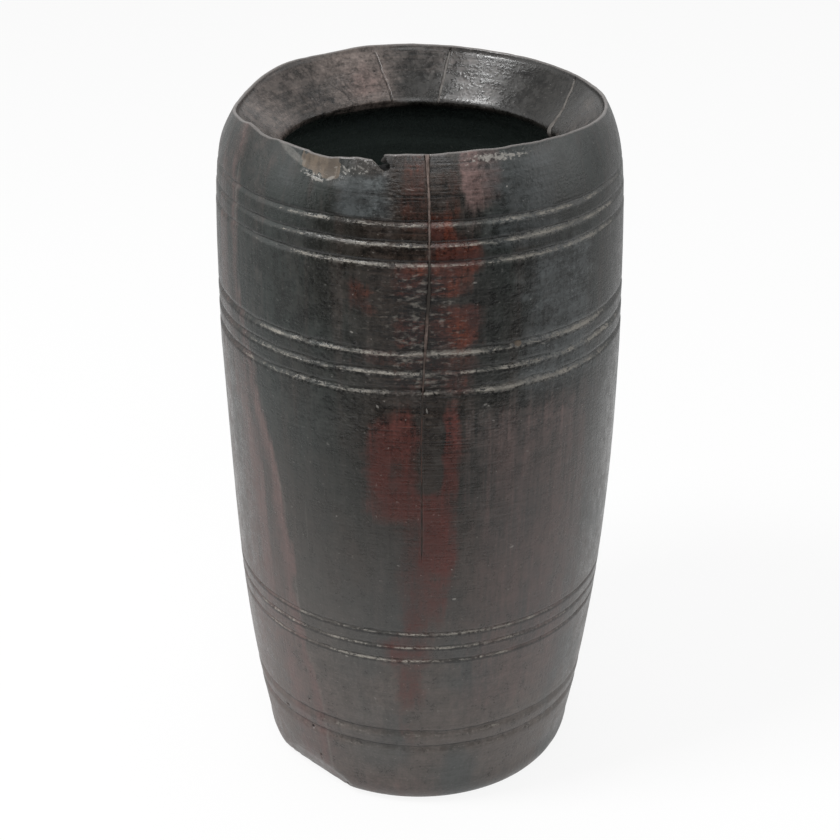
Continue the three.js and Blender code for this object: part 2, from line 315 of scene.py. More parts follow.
    def straightened(self, angle: Array, height: Array) -> Array:
        """Height that a point had before the rim warped, found by three rounds of correction."""
        offset = self.rim_offset(angle) + self.rim_nicks(angle)
        before = np.array(height, float)
        for _ in range(3):
            before = height - self.warp_share(before) * offset
        return before


@dataclass(frozen=True)
class MouthPath:
    """The inside profile as one path, measured from the outer edge of the rim over it and down."""

    log: Log

    def points(self) -> tuple[Array, Array, Array]:
        """Radius, height and distance along the path, closely spaced.

        Formula: a rounded rim edge, the upright bevel, a straight funnel that touches the bead,
        the bead's arc, a quarter ellipse for the ceiling, a wall of even thickness, a quarter
        circle and the flat floor.
        """
        g = self.log
        top, inner, half = g.rim_height, g.rim_radius - g.rim_edge, g.rim_edge / 2
        turn = np.linspace(0, math.pi, 13)
        rim = np.stack([g.rim_radius - half + half * np.cos(turn),
                        top - g.rim_rounding * (1 - np.sin(turn))], 1)
        funnel_top = np.array([inner - g.bevel[0], top - g.bevel[1]])
        bead = np.array([g.lip_radius + g.bead, top - g.lip_drop])
        reach = funnel_top - bead
        touch = math.atan2(reach[1], reach[0]) + math.acos(g.bead / np.hypot(*reach))
        arc = np.linspace(touch, 1.5 * math.pi, 40)
        bead_arc = bead + g.bead * np.stack([np.cos(arc), np.sin(arc)], 1)
        line = np.linspace(funnel_top, bead_arc[0], 80)
        ceiling_foot = bead[1] - g.bead - g.ceiling
        room = float(g.plain_radius(ceiling_foot)) - g.wall - bead[0]
        turn = np.linspace(math.pi / 2, 0, 50)[1:]
        ceiling = np.stack([bead[0] + room * np.cos(turn),
                            ceiling_foot + g.ceiling * np.sin(turn)], 1)
        wall_foot = g.floor + g.floor_round
        z = np.linspace(ceiling_foot, wall_foot, 120)[1:]
        wall = np.stack([g.plain_radius(z) - g.wall, z], 1)
        centre = float(g.plain_radius(wall_foot)) - g.wall - g.floor_round
        turn = np.linspace(0, -math.pi / 2, 30)[1:]
        low = np.stack([centre + g.floor_round * np.cos(turn),
                        wall_foot + g.floor_round * np.sin(turn)], 1)
        path = np.concatenate([rim, line, bead_arc[1:], ceiling, wall, low, [[0, g.floor]]])
        step = np.hypot(*np.diff(path, axis=0).T)
        return path[:, 0], path[:, 1], np.concatenate([[0], np.cumsum(step)])

    def at(self, distance: Array) -> tuple[Array, Array, Array, Array]:
        """Radius, height and the outward normal in (radius, height) at distances along the path.

        Formula: the normal is (dz, -dr), the path's direction turned to the right.
        """
        r, z, s = self.points()
        ahead, behind = distance + 0.25, distance - 0.25
        dr = np.interp(ahead, s, r) - np.interp(behind, s, r)
        dz = np.interp(ahead, s, z) - np.interp(behind, s, z)
        size = np.maximum(np.hypot(dr, dz), 1e-9)
        return np.interp(distance, s, r), np.interp(distance, s, z), dz / size, -dr / size


class Side(Enum):
    """Where a drying crack runs."""

    WALL = "up the outside of the wall"
    MOUTH = "down the funnel of the mouth"


@dataclass(frozen=True)
class Crack:
    """A drying crack that follows the grain.

    A place is a height on the outside, or in the mouth the distance from the rim's outer edge.

    Attributes:
        side: Which face of the wall it has opened.
        core: Angle at the rim, about which the columns of the skin follow it.
        track: Pairs of place and angle.
        widths: Pairs of place and width.
        depths: Pairs of place and depth of the open channel.
        reach: Angle over which the columns beside it give way.
        seed: Seed of its ragged edges.
    """

    side: Side
    core: float
    track: Pairs
    widths: Pairs
    depths: Pairs
    reach: float
    seed: int

    def half_width(self, place: Array, edge: int) -> Array:
        """Half width at a place towards one edge, -1 or 1, each with a raggedness of its own."""
        fine = Wander(self.seed + edge, 60, 1.4).at(0, place)
        broad = Wander(self.seed + 7 + edge, 60, 6.0).at(0, place)
        return along(place, self.widths) / 2 * (1 + 0.2 * fine + 0.16 * broad)


FRONT_CRACK = Crack(
    Side.WALL, 272.0,
    track=((148, 270.2), (159, 270.2), (212, 270.1), (232, 270.5), (264, 271.7), (285, 272.5),
           (320, 272.5), (341, 272.0)),
    widths=((148, 0.4), (158, 0.45), (215, 0.5), (232, 0.65), (255, 0.8), (262, 1.2), (284, 1.15),
            (290, 0.7), (330, 0.8), (334, 1.25), (341, 1.3)),
    depths=((150, 0), (158, 1.3), (300, 1.6), (326, 1.2), (335, 0.75), (341, 0.7)),
    reach=26, seed=40)
RIGHT_CRACK = Crack(
    Side.MOUTH, 28.5,
    track=((0, 28.6), (4, 28.2), (10, 25.6), (14, 24.4), (19, 21.6), (24, 20.1), (33, 17.3),
           (41, 16.9)),
    widths=((0, 1.0), (10, 1.2), (20, 1.5), (28, 2.0), (34, 2.2)),
    depths=((2.6, 0), (4.4, 0.8), (30, 1.1), (36, 1.0), (39, 0)),
    reach=32, seed=60)
BACK_CRACK = Crack(
    Side.MOUTH, 79.5,
    track=((0, 79.4), (12, 80.4), (20, 80.9), (33, 82.1), (41, 82.3)),
    widths=((0, 0.8), (16, 1.0), (33, 1.1)),
    depths=((2.6, 0), (4.4, 0.7), (28, 0.8), (33, 0)),
    reach=18, seed=80)
OPEN_CRACK = Crack(
    Side.MOUTH, 106.6,
    track=((0, 106.8), (8, 105.2), (16, 104.6), (24, 103.1), (33, 102.3), (41, 102.0)),
    widths=((0, 0.4), (10, 0.5), (24, 0.9), (34, 0.9)),
    depths=((4, 0), (7, 0.5), (22, 1.2), (33, 1.4), (37, 0)),
    reach=16, seed=100)
CRACKS = (FRONT_CRACK, RIGHT_CRACK, BACK_CRACK, OPEN_CRACK)


def make_piece(name: str, points: Array, faces: Sequence[Array]) -> bpy.types.Object:
    """Makes a smooth-shaded object from points in millimetres.

    Args:
        name: The object's name.
        points: Vertices, one row each.
        faces: Arrays of faces, each with one row of vertex numbers a face.

    Returns:
        The object, linked to the scene.
    """
    mesh = bpy.data.meshes.new(name)
    rows = [row for group in faces for row in group.tolist()]
    mesh.from_pydata((points * MM).tolist(), [], rows)
    mesh.polygons.foreach_set("use_smooth", [True] * len(mesh.polygons))
    mesh.update()
    piece = bpy.data.objects.new(name, mesh)
    bpy.context.collection.objects.link(piece)
    return piece


def grid_faces(rows: int, columns: int, closed: bool) -> Array:
    """Quads of a grid numbered row by row, joined across its last column where it is closed."""
    across = np.arange(columns if closed else columns - 1)
    i, j = np.meshgrid(across, np.arange(rows - 1))
    i, j, k = i.ravel(), j.ravel(), (i.ravel() + 1) % columns
    low, high = j * columns, (j + 1) * columns
    return np.stack([low + i, low + k, high + k, high + i], 1)


@dataclass
class Grid:
    """The skin's points while they are shaped, in rows of stations and columns round the axis.

    Attributes:
        radius: Radius of every point.
        height: Height of every point.
        angle: Angle of every point.
        base: Angle of each column before it is led.
        outer: The rows of the outside.
        z: Height of each of these rows on the plain profile.
        groove: Number of the groove that each of them belongs to, or -1.
        place: Where each of them lies across its groove, as a share of its half width.
        inner: The rows of the inside.
        inside: Distance of each of these rows along the mouth's path.
        normal_r: How far the outward normal points away from the axis in each of them.
        normal_z: How far it points up.
    """

    radius: Array
    height: Array
    angle: Array
    base: Array
    outer: slice
    z: Array
    groove: Array
    place: Array
    inner: slice
    inside: Array
    normal_r: Array
    normal_z: Array

    def raise_inside(self, lift: Array) -> None:
        """Moves the inside's points outwards along their normals."""
        self.radius[self.inner] += lift * self.normal_r[:, None]
        self.height[self.inner] += lift * self.normal_z[:, None]


@dataclass(frozen=True)
class LaceHole:
    """The hole for a lace under the rim.

    Attributes:
        angle: Angle of its middle.
        radius: Its radius.
        below_rim: How far its middle lies below the rim there.
        towards: Angle that it is bored along.
        depth: How far the bore goes in.
        slope: Angle by which it runs down on its way in.
    """

    angle: float = 260.6
    radius: float = 1.85
    below_rim: float = 4.5
    towards: float = 269.0
    depth: float = 7.5
    slope: float = 20.0


@dataclass
class TurnedBody:
    """The jug itself: one skin of columns round the axis and stations along the profile.

    Attributes:
        log: Sizes of the log.
        cracks: Its drying cracks.
        fine_step: Step in degrees between the columns at the front.
        middle_step: The step at the torn end grain.
        coarse_step: The step elsewhere.
        core_half: Half the width in degrees of a crack's core, before it is led to its track.
        core_columns: Columns beside a core, as shares of that half width.
        cut_places: Stations across a groove, as shares of its half width.
        cut_profile: Pairs of such a place and the share of the groove's depth there, with a
            steep upper flank and a gentle lower one.
        foot_turns: Angles of the stations on the foot's round.
        height_steps: Pairs of height and the step between stations there.
        underside: Pairs of radius and height under the foot.
        hollow: Height of the underside's middle.
        beetle_holes: Angle, height and radius of each beetle hole.
        beetle_depth: How deep the beetle holes go.
        beetle_corners: Number of corners of a beetle hole.
        beetle_uneven: Share by which its radius wavers.
        drill_clear: How far the drills stand out of the wall before they cut.
        lace: The lace hole.
        wear_towards: Angle that the worn flat at the foot faces.
        wear_slope: How far the flat faces down, in degrees.
        wear_distance: Distance of the flat from the origin.
        inset: How far the skin stays inside the CAD's box.
    """

    log: Log = field(default_factory=Log)
    cracks: tuple[Crack, ...] = CRACKS
    fine_step: float = 0.5
    middle_step: float = 0.8
    coarse_step: float = 1.62
    core_half: float = 0.75
    core_columns: tuple[float, ...] = (0.0, 0.5, 0.94, 1.12, 1.5)
    cut_places: tuple[float, ...] = (-1.7, -1.12, -0.8, -0.35, -0.02, 0.3, 0.72, 1.04, 1.7)
    cut_profile: Pairs = (
        (-1.12, -0.12), (-0.8, 0.1), (-0.02, 0.9), (0.3, 1.0), (0.72, 0.22), (1.04, 0))
    foot_turns: tuple[float, ...] = (9, 20, 32, 44, 56, 68, 79, 90)
    height_steps: Pairs = ((0, 5), (60, 5), (200, 5), (230, 3), (312, 3), (326, 1.6))
    underside: Pairs = (
        (14, 2.15), (28, 2.0), (41, 1.8), (43.5, 1.1), (46, 0), (52, 0), (60, 0), (66, 0),
        (69.2, 0))
    hollow: float = 2.2
    beetle_holes: tuple[tuple[float, float, float], ...] = (
        (196.2, 255.0, 0.9), (203.2, 237.3, 0.9), (218.5, 41.8, 0.95), (230.6, 36.8, 1.0),
        (218.2, 8.6, 0.75), (232.3, 19.4, 0.9), (241.7, 4.2, 0.85), (231.1, 55.4, 0.6))
    beetle_depth: float = 2.6
    beetle_corners: int = 10
    beetle_uneven: float = 0.12
    drill_clear: float = 6.0
    lace: LaceHole = LaceHole()
    wear_towards: float = 225.0
    wear_slope: float = 30.0
    wear_distance: float = 59.4
    inset: float = 0.02

    def column_angles(self) -> Array:
        """Angles of the columns, closest at the front, with a set beside each crack's core.

        Formula: the running sum of 1 / step over the angle is cut into equal shares.
        """
        angle = np.linspace(0, 360, 3601)
        front = smooth(angle, 216, 228) * smooth(angle, 334, 322)
        swirl = smooth(angle, 98, 112) * smooth(angle, 166, 152)
        step = self.coarse_step + (self.fine_step - self.coarse_step) * front
        step = np.minimum(step, self.coarse_step + (self.middle_step - self.coarse_step) * swirl)
        share = np.concatenate([[0], np.cumsum(0.1 / step[1:])])
        count = round(float(share[-1]))
        plain = np.interp(np.arange(count) * share[-1] / count, share, angle)
        sets = []
        for crack in self.cracks:
            reach = max(self.core_columns) * self.core_half
            plain = plain[np.abs(turned_by(plain, crack.core)) > reach + 0.2]
            steps = np.array(self.core_columns) * self.core_half
            sets.append(crack.core + np.unique(np.concatenate([-steps, steps])))
        return np.sort(np.concatenate([plain, *sets]))

    def outside_stations(self) -> tuple[Array, Array, Array]:
        """Heights up the outside, with the groove that each belongs to and its place in the cut.

        Returns:
            Height, groove number or -1, and the place from -1 to 1 across the groove.
        """
        rows = []
        for number, (band, k) in enumerate(self.log.grooves):
            middle = band.lowest + k * band.spacing
            rows += [(middle + c * band.width / 2, number, c) for c in self.cut_places]
        foot = self.log.foot_round * (1 - np.cos(np.radians(self.foot_turns)))
        rows += [(h, -1, 0.0) for h in foot]
        rows.sort()
        top = self.log.rim_height - self.log.rim_rounding
        bounds = [*rows, (top, -1, 0.0)]
        extra = []
        for (low, _, _), (high, _, _) in zip(bounds, bounds[1:]):
            step = float(along(low, self.height_steps))
            count = max(1, math.ceil((high - low) / step - 0.35))
            extra += [(low + (high - low) * k / count, -1, 0.0) for k in range(1, count)]
        rows = sorted(rows + extra)
        height, groove, place = np.array(rows).T
        return height, groove.astype(int), place

    def inside_stations(self) -> Array:
        """Distances down the inside: close at the rim, the funnel's foot and the bead."""
        _, _, s = MouthPath(self.log).points()
        end = float(s[-1])
        marks = [0, 0.45, 1.0, 1.5, 1.95, 2.6, 3.4, 4.4, 5.4]
        marks += list(np.arange(7.2, 31, 1.85))
        marks += list(np.linspace(31.6, 41.5, 12))
        marks += list(np.linspace(44.5, 80, 9)) + list(np.linspace(92, end - 75, 12))
        marks += list(np.linspace(end - 66, end - 12, 8))
        return np.array(marks)

    def skin(self) -> tuple[Array, Array, Array]:
        """Points of the skin between its two poles.

        Returns:
            The grid of points, station by column, and the lower and upper pole.
        """
        g, grid = self.log, self.plain_grid()
        self.lead_columns(grid)
        self.cut_grooves(grid)
        self.roughen_outside(grid)
        self.open_cracks(grid)
        self.roughen_mouth(grid)
        share = g.warp_share(grid.height)
        height = grid.height + share * (g.rim_offset(grid.angle) + g.rim_nicks(grid.angle))
        turn = np.radians(grid.angle)
        x = grid.radius * np.cos(turn) + g.shift(height)
        points = self.wear_foot(np.stack([x, grid.radius * np.sin(turn), height], 2))
        least, most = np.array(CAD_BOX[0]) / MM, np.array(CAD_BOX[1]) / MM
        points = np.clip(points, least + (self.inset, self.inset, 0), most - self.inset)
        low = np.array([g.shift(0.0), 0, self.hollow], float)
        high = np.array([g.shift(g.floor), 0, g.floor], float)
        return points, low, high

    def plain_grid(self) -> Grid:
        """The skin as the turned profile, before anything is cut into it."""
        base, under = self.column_angles(), np.array(self.underside)
        (z, groove, place), inside = self.outside_stations(), self.inside_stations()
        path_r, path_z, normal_r, normal_z = MouthPath(self.log).at(inside)
        outer = slice(len(under), len(under) + len(z))
        radius = np.concatenate([under[:, 0], self.log.plain_radius(z), path_r])
        height = np.concatenate([under[:, 1], z, path_z])
        radius, height = radius[:, None] + 0 * base, height[:, None] + 0 * base
        angle, inner = np.repeat(base[None, :], len(height), 0), slice(outer.stop, len(height))
        return Grid(radius, height, angle, base, outer, z, groove, place, inner, inside, normal_r,
                    normal_z)

    def lead_columns(self, grid: Grid) -> None:
        """Leads the columns along the cracks.

        Formula: near a core the columns move with the crack's track by a share that fades over
        its reach, and the columns of its core are stretched to its width there.
        """
        for crack in self.cracks:
            on_wall = crack.side is Side.WALL
            rows, where = (grid.outer, grid.z) if on_wall else (grid.inner, grid.inside)
            offset = turned_by(grid.base, crack.core)
            fade = smooth(np.abs(offset), crack.reach, self.core_half * 2)
            lead = along(where, crack.track) - crack.core
            if not on_wall:
                lead = lead * smooth(where, 110, 60)
            stretched = np.zeros((len(where), len(grid.base)))
            core, far = self.core_half, self.core_half * 5
            for edge in (-1, 1):
                half = crack.half_width(where, edge) / np.maximum(grid.radius[rows, 0], 1)
                half = np.degrees(half)[:, None]
                part = (offset * edge > 0) & (np.abs(offset) < far)
                away = np.abs(offset[part])[None, :]
                outwards = half + (away - core) * (far - half) / (far - core)
                moved = np.where(away <= core, away * half / core, outwards)
                stretched[:, part] = edge * (moved - away)
            grid.angle[rows] += lead[:, None] * fade[None, :] + stretched

    def cut_grooves(self, grid: Grid) -> None:
        """Cuts the ring grooves: each cut's stations follow its wandering line and sink into it."""
        lines = grid.outer.start + np.arange(len(grid.z))
        for band in self.log.bands:
            span = band.lowest + band.spacing * (band.count - 1) / 2
            away = np.abs(grid.z - span)
            near = (grid.groove < 0) & (away < 40)
            lean = band.tilt * np.cos(np.radians(grid.angle[lines[near]] - 180))
            grid.height[lines[near]] += lean * smooth(away[near], 40, 12)[:, None]
        for number, (band, k) in enumerate(self.log.grooves):
            mine = grid.groove == number
            at, seed = lines[mine], band.seed + k
            angle = grid.angle[at]
            grid.height[at] += band.centre(k, angle) - (band.lowest + k * band.spacing)
            hand = 0.95 + 0.3 * Wander(seed + 40, 2.4, 10).at(angle, 0)
            hand = hand + 0.32 * Wander(seed + 60, 12, 10).at(angle, 0)
            profile = along(grid.place[mine], self.cut_profile)
            grid.radius[at] -= band.depth * profile[:, None] * hand

    def roughen_outside(self, grid: Grid) -> None:
        """Leaves the marks of tool and years on the outside, and the chip below the rim."""
        a, h = grid.angle[grid.outer], grid.height[grid.outer]
        uneven = 0.14 + 0.07 * Wander(1, 34, 90).at(a, h) + 0.05 * Wander(2, 9, 30).at(a, h)
        rough = bell_round(a, 274, 22) * smooth(h, 225, 238) * smooth(h, 300, 285)
        uneven = uneven + rough * (0.1 + 0.1 * Wander(3, 2.2, 2.6).at(a, h))
        edge = smooth(h, self.log.rim_height - 5, self.log.rim_height)
        uneven = uneven + edge * (0.1 + 0.12 * Wander(4, 3, 4).at(a, h))
        grid.radius[grid.outer] -= uneven * smooth(h, 0.5, 4)
        grid.radius[grid.outer] -= 0.78 * self.chip(a, h)

    def chip(self, angle: Array, height: Array) -> Array:
        """Depth share of the chip below the rim, from 0 to 1, with a ragged ledge."""
        below = self.log.rim_height - height
        ragged = 0.16 * Wander(5, 2.6, 2.4).at(angle, height)
        ragged = ragged + 0.08 * Wander(6, 1.1, 1.1).at(angle, height)
        across = turned_by(angle, 242.5) / 8.6
        size = np.sqrt(across**2 + ((below - 4.2 - 1.6 * across) / 5.2) ** 2) + ragged
        return smooth(size, 1.0, 0.86)

    def open_cracks(self, grid: Grid) -> None:
        """Sinks the core columns of each crack into the wood by its depth."""
        for crack in self.cracks:
            u = np.abs(turned_by(grid.base, crack.core)) / self.core_half
            core = np.clip((1.12 - u) / 0.18, 0, 1)[None, :]
            if crack.side is Side.MOUTH:
                grid.raise_inside(-along(grid.inside, crack.depths)[:, None] * core)
                continue
            grid.radius[grid.outer] -= along(grid.z, crack.depths)[:, None] * core
            over = grid.inner.start + np.nonzero(grid.inside < 2.3)[0]
            limit = self.log.rim_radius - crack.depths[-1][1] * core
            held = np.minimum(grid.radius[over], limit)
            grid.radius[over] = np.where(core > 0, held, grid.radius[over])

    def roughen_mouth(self, grid: Grid) -> None:
        """Leaves tool marks in the funnel, torn end grain at the back left and a wavering lip."""
        a, s = grid.angle[grid.inner], grid.inside[:, None]
        torn = bell_round(a, 139, 12) * bell(s, 24, 10)
        lift = 0.05 * Wander(21, 20, 5).at(a, s) + 0.05 * Wander(22, 6, 12).at(a, s)
        lift = lift + torn * (0.35 * Wander(23, 3.4, 2.6).at(a, s) - 0.25)
        lip = bell(s, 35, 5)
        lift = lift + lip * (0.22 * Wander(24, 17, 10).at(a, 0) + 0.08 * Wander(25, 4, 10).at(a, 0))
        step = smooth(turned_by(a, 102), -3, 3) * smooth(turned_by(a, 127), 4, -6)
        lift = lift + step * (0.75 * bell(s, 30.5, 1.6) - 0.5 * bell(s, 33.5, 1.6))
        cavity = smooth(s, 42, 60) * smooth(s, 400, 330)
        lift = lift + cavity * 0.25 * np.sin(s * 0.9 + 1.5 * Wander(26, 60, 30).at(a, s))
        lift = lift * smooth(s, 2.4, 6) - 0.1 * smooth(s, 0.6, 1.4) * smooth(s, 5, 3)
        grid.raise_inside(lift)

    def wear_foot(self, points: Array) -> Array:
        """Presses the points beyond the worn plane at the foot's edge back onto it."""
        towards, slope = np.radians(self.wear_towards), np.radians(self.wear_slope)
        normal = np.array([math.cos(slope) * math.cos(towards), math.cos(slope) * math.sin(towards),
                           -math.sin(slope)])
        over = points @ normal - self.wear_distance
        return points - np.maximum(over, 0)[..., None] * normal

    def build(self) -> bpy.types.Object:
        """The skin as a closed mesh, with its lace hole and its shallow beetle holes."""
        points, low, high = self.skin()
        rows, columns, _ = points.shape
        flat = np.concatenate([points.reshape(-1, 3), [low, high]])
        ring, after = np.arange(columns), (np.arange(columns) + 1) % columns
        first, last = rows * columns, rows * columns + 1
        top = (rows - 1) * columns
        caps = np.concatenate([
            np.stack([np.full(columns, first), after, ring], 1),
            np.stack([top + ring, top + after, np.full(columns, last)], 1)])
        piece = make_piece("jug_wood", flat, [grid_faces(rows, columns, True), caps])
        log.info("jug skin: %d columns, %d stations", columns, rows)
        self.cut_holes(piece)
        return piece

    def cut_holes(self, piece: bpy.types.Object) -> None:
        """Cuts the lace hole with its break, and the beetle holes, out of the skin."""
        place, _ = self.on_wall(self.lace.angle, self.lace_height())
        _, out = self.on_wall(self.lace.towards, self.lace_height())
        drills = [self.drill(self.lace_outline(), place, out, self.lace.depth, self.lace.slope)]
        turn = np.linspace(0, 2 * math.pi, self.beetle_corners + 1)[:-1]
        for k, (angle, height, radius) in enumerate(self.beetle_holes):
            uneven = radius * (1 + self.beetle_uneven * np.sin(2 * turn + k))
            outline = np.stack([uneven * np.cos(turn), uneven * np.sin(turn)], 1)
            drills.append(self.drill(outline, *self.on_wall(angle, height), self.beetle_depth))
        points, faces, start = [], [], 0
        for corners, quads, ends in drills:
            points.append(corners)
            faces += [quads + start] + [np.array([e + start]) for e in ends]
            start += len(corners)
        cutter = make_piece("cutter", np.concatenate(points), faces)
        cut = piece.modifiers.new("holes", "BOOLEAN")
        cut.operation, cut.solver, cut.object = "DIFFERENCE", "EXACT", cutter
        bpy.context.view_layer.update()
        graph = bpy.context.evaluated_depsgraph_get()
        done = bpy.data.meshes.new_from_object(piece.evaluated_get(graph))
        piece.modifiers.clear()
        piece.data = done
        bpy.data.objects.remove(cutter)
        done.polygons.foreach_set("use_smooth", [True] * len(done.polygons))

    def lace_height(self) -> float:
        """Height of the lace hole's middle, measured down from the rim above it."""
        angle = np.array(self.lace.angle)
        rim = self.log.rim_height + self.log.rim_offset(angle) + self.log.rim_nicks(angle)
        return float(rim - self.lace.below_rim)

    def lace_outline(self) -> Array:
        """Outline of the lace hole and of the leaning break up through the rim, seen from outside.

        Formula: most of a circle, then a line up each side of the break, all a little ragged.
        """
        turn = np.radians(np.linspace(118, -118, 24))
        ring = self.lace.radius * np.stack([np.cos(turn), np.sin(turn)], 1)
        left = np.array([(-1.25, -1.3), (-2.0, -0.9), (-2.9, 0.1), (-4.0, 1.5), (-5.2, 2.75),
                         (-6.6, 3.7), (-8.6, 4.6), (-12, 9)])
        right = np.array([(0.6, 9), (-0.6, 5.2), (-1.0, 4.2), (-2.0, 2.9), (-1.8, 2.1)])
        return np.concatenate([ring, left, right])[::-1]

    def on_wall(self, angle: float, height: float) -> tuple[Array, Array]:
        """Point on the outside and the outward direction there."""
        turn = math.radians(angle)
        out = np.array([math.cos(turn), math.sin(turn), 0.0])
        radius = float(self.log.plain_radius(height))
        return out * radius + np.array([float(self.log.shift(height)), 0, height]), out

    def drill(self, outline: Array, centre: Array, out: Array, depth: float,
              slope: float = 0.0) -> tuple[Array, Array, list]:
        """A closed prism whose outline stands across the way in.

        Args:
            outline: Corners to the right and up as seen from outside, anticlockwise.
            centre: Point on the wall.
            out: Outward direction there.
            depth: How far it goes in.
            slope: Angle by which it runs down on its way in.

        Returns:
            Its corners, its side faces and its two end faces.
        """
        right = np.array([-out[1], out[0], 0.0])
        flat = outline[:, :1] * right + outline[:, 1:] * np.array([0, 0, 1.0])
        way = out + np.array([0, 0, math.tan(math.radians(slope))])
        ends = centre + flat - way * depth, centre + flat + way * self.drill_clear
        corners = np.concatenate(ends)
        n = len(outline)
        i, j = np.arange(n), (np.arange(n) + 1) % n
        return corners, np.stack([i, j, j + n, i + n], 1), [i[::-1], i + n]


@dataclass
class CrackSeal:
    """The hardened gum in one crack: a closed strip whose section is carried along the crack.

    Attributes:
        name: The piece's name.
        node: The CAD node that it stands for.
        crack: The crack that it fills.
        span: First and last place of the strip.
        step: Distance between two sections.
        thickness: How deep the strip goes below the surface.
        swell: Pairs of place and how much wider than the crack the gum has spread.
        proud: Pairs of place and how far its middle stands above the wood, less than 0 if sunk.
        log: Sizes of the log.
        section: Points of its upper side across the crack, as shares of the half width.
        foot_section: The points of its lower side.
        foot_share: Width of the lower side as a share of the upper.
        wall_sink: How far the roughened wall lies inside the plain radius.
        groove_share: Share of a groove's depth that the gum follows.
        least_width: Share of its width that is left at its two ends.
        taper: Length over which an end draws in.
    """

    name: str
    node: str
    crack: Crack
    span: tuple[float, float]
    step: float
    thickness: Pairs
    swell: Pairs
    proud: Pairs
    log: Log = field(default_factory=Log)
    section: tuple[float, ...] = (-1.0, -0.86, -0.62, -0.34, 0.0, 0.34, 0.62, 0.86, 1.0)
    foot_section: tuple[float, ...] = (0.8, 0.0, -0.8)
    foot_share: float = 0.72
    wall_sink: float = 0.14
    groove_share: float = 0.55
    least_width: float = 0.25
    taper: float = 1.6

    def surface(self, place: Array, angle: Array) -> tuple[Array, Array, Array, Array]:
        """Radius, height and outward normal of the wood at a place, before the crack opened."""
        if self.crack.side is Side.MOUTH:
            return MouthPath(self.log).at(place)
        radius = self.log.plain_radius(place) - self.wall_sink
        for band, k in self.log.grooves:
            offset = (place - band.centre(k, angle)) / (band.width / 2)
            radius = radius - self.groove_share * band.depth * np.maximum(0, 1 - np.abs(offset))
        return radius, place, np.ones_like(place), np.zeros_like(place)

    def build(self) -> bpy.types.Object:
        """The strip as a closed mesh.

        Formula: at each place the upper points lie across the crack at shares of its half width,
        raised by a flat crown, and the lower points at the strip's thickness, drawn in a little.
        """
        count = round((self.span[1] - self.span[0]) / self.step) + 1
        place = np.linspace(*self.span, count)
        middle = along(place, self.crack.track)
        radius, height, normal_r, normal_z = self.surface(place, middle)
        share = np.array(self.section)
        left, right = self.crack.half_width(place, -1), self.crack.half_width(place, 1)
        half = np.where(share[None, :] < 0, left[:, None], right[:, None])
        first, last = self.span
        past = 0.3 if self.crack.side is Side.MOUTH else 90
        ends = smooth(place, first - 0.3, first + self.taper)
        ends = ends * smooth(place, last + past, last - self.taper)
        wide = (half + 0.05 + along(place, self.swell)[:, None]) * share[None, :]
        wide = wide * np.maximum(ends, self.least_width)[:, None]
        lump = 0.10 * Wander(self.crack.seed + 20, 60, 1.6).at(share[None, :] * 9, place[:, None])
        lump = lump + 0.09 * Wander(self.crack.seed + 21, 60, 5.5).at(0, place[:, None])
        crown = (along(place, self.proud)[:, None] + lump) * (1 - 0.75 * share[None, :] ** 4)
        deep = -along(place, self.thickness)[:, None] * np.ones(len(self.foot_section))[None, :]
        foot = self.foot_share * half.max(1)[:, None] * np.array([self.foot_section])
        across = np.concatenate([wide, foot], 1)
        out = np.concatenate([crown, deep], 1)
        turn = np.radians(middle)[:, None]
        r = radius[:, None] + out * normal_r[:, None]
        z = height[:, None] + out * normal_z[:, None]
        x = r * np.cos(turn) - across * np.sin(turn)
        y = r * np.sin(turn) + across * np.cos(turn)
        angle = np.degrees(np.arctan2(y, x))
        z = z + self.log.warp_share(z) * (self.log.rim_offset(angle) + self.log.rim_nicks(angle))
        points = np.stack([x + self.log.shift(z), y, z], 2)
        rows, columns, _ = points.shape
        faces, ring = grid_faces(rows, columns, True), np.arange(columns)[None, :]
        low, high = ring[:, ::-1], (rows - 1) * columns + ring
        if self.crack.side is Side.MOUTH:
            faces, low, high = faces[:, ::-1], low[:, ::-1], high[:, ::-1]
        return make_piece(self.name, points.reshape(-1, 3), [faces, low, high])


FRONT_SEAL = CrackSeal(
    "front_gum", "front_crack_seal", FRONT_CRACK, (153.0, 339.75), 0.5,
    thickness=((150, 1.0), (160, 1.2), (300, 1.5), (326, 1.1), (335, 0.66), (341, 0.62)),
    swell=((150, 0), (330, 0), (336, 0.05), (341, 0.05)),
    proud=((150, -0.2), (225, -0.12), (255, -0.03), (262, -0.12), (285, -0.1), (291, 0.05),
           (328, 0.06), (334, 0.16), (341, 0.12)))
RIGHT_SEAL = CrackSeal(
    "right_gum", "right_crack_seal", RIGHT_CRACK, (3.6, 37.5), 0.4,
    thickness=((0, 0.6), (6, 0.75), (38, 0.95)),
    swell=((0, 0), (27, 0.1), (33, 1.1), (36, 1.7), (38, 1.4)),
    proud=((0, 0.02), (24, 0.12), (30, 0.4), (34.5, 1.0), (38, 0.6)))
BACK_SEAL = CrackSeal(
    "back_gum", "back_crack_seal", BACK_CRACK, (3.8, 33.0), 0.4,
    thickness=((0, 0.55), (34, 0.7)),
    swell=((0, 0), (34, 0)),
    proud=((0, 0.0), (34, 0.05)))


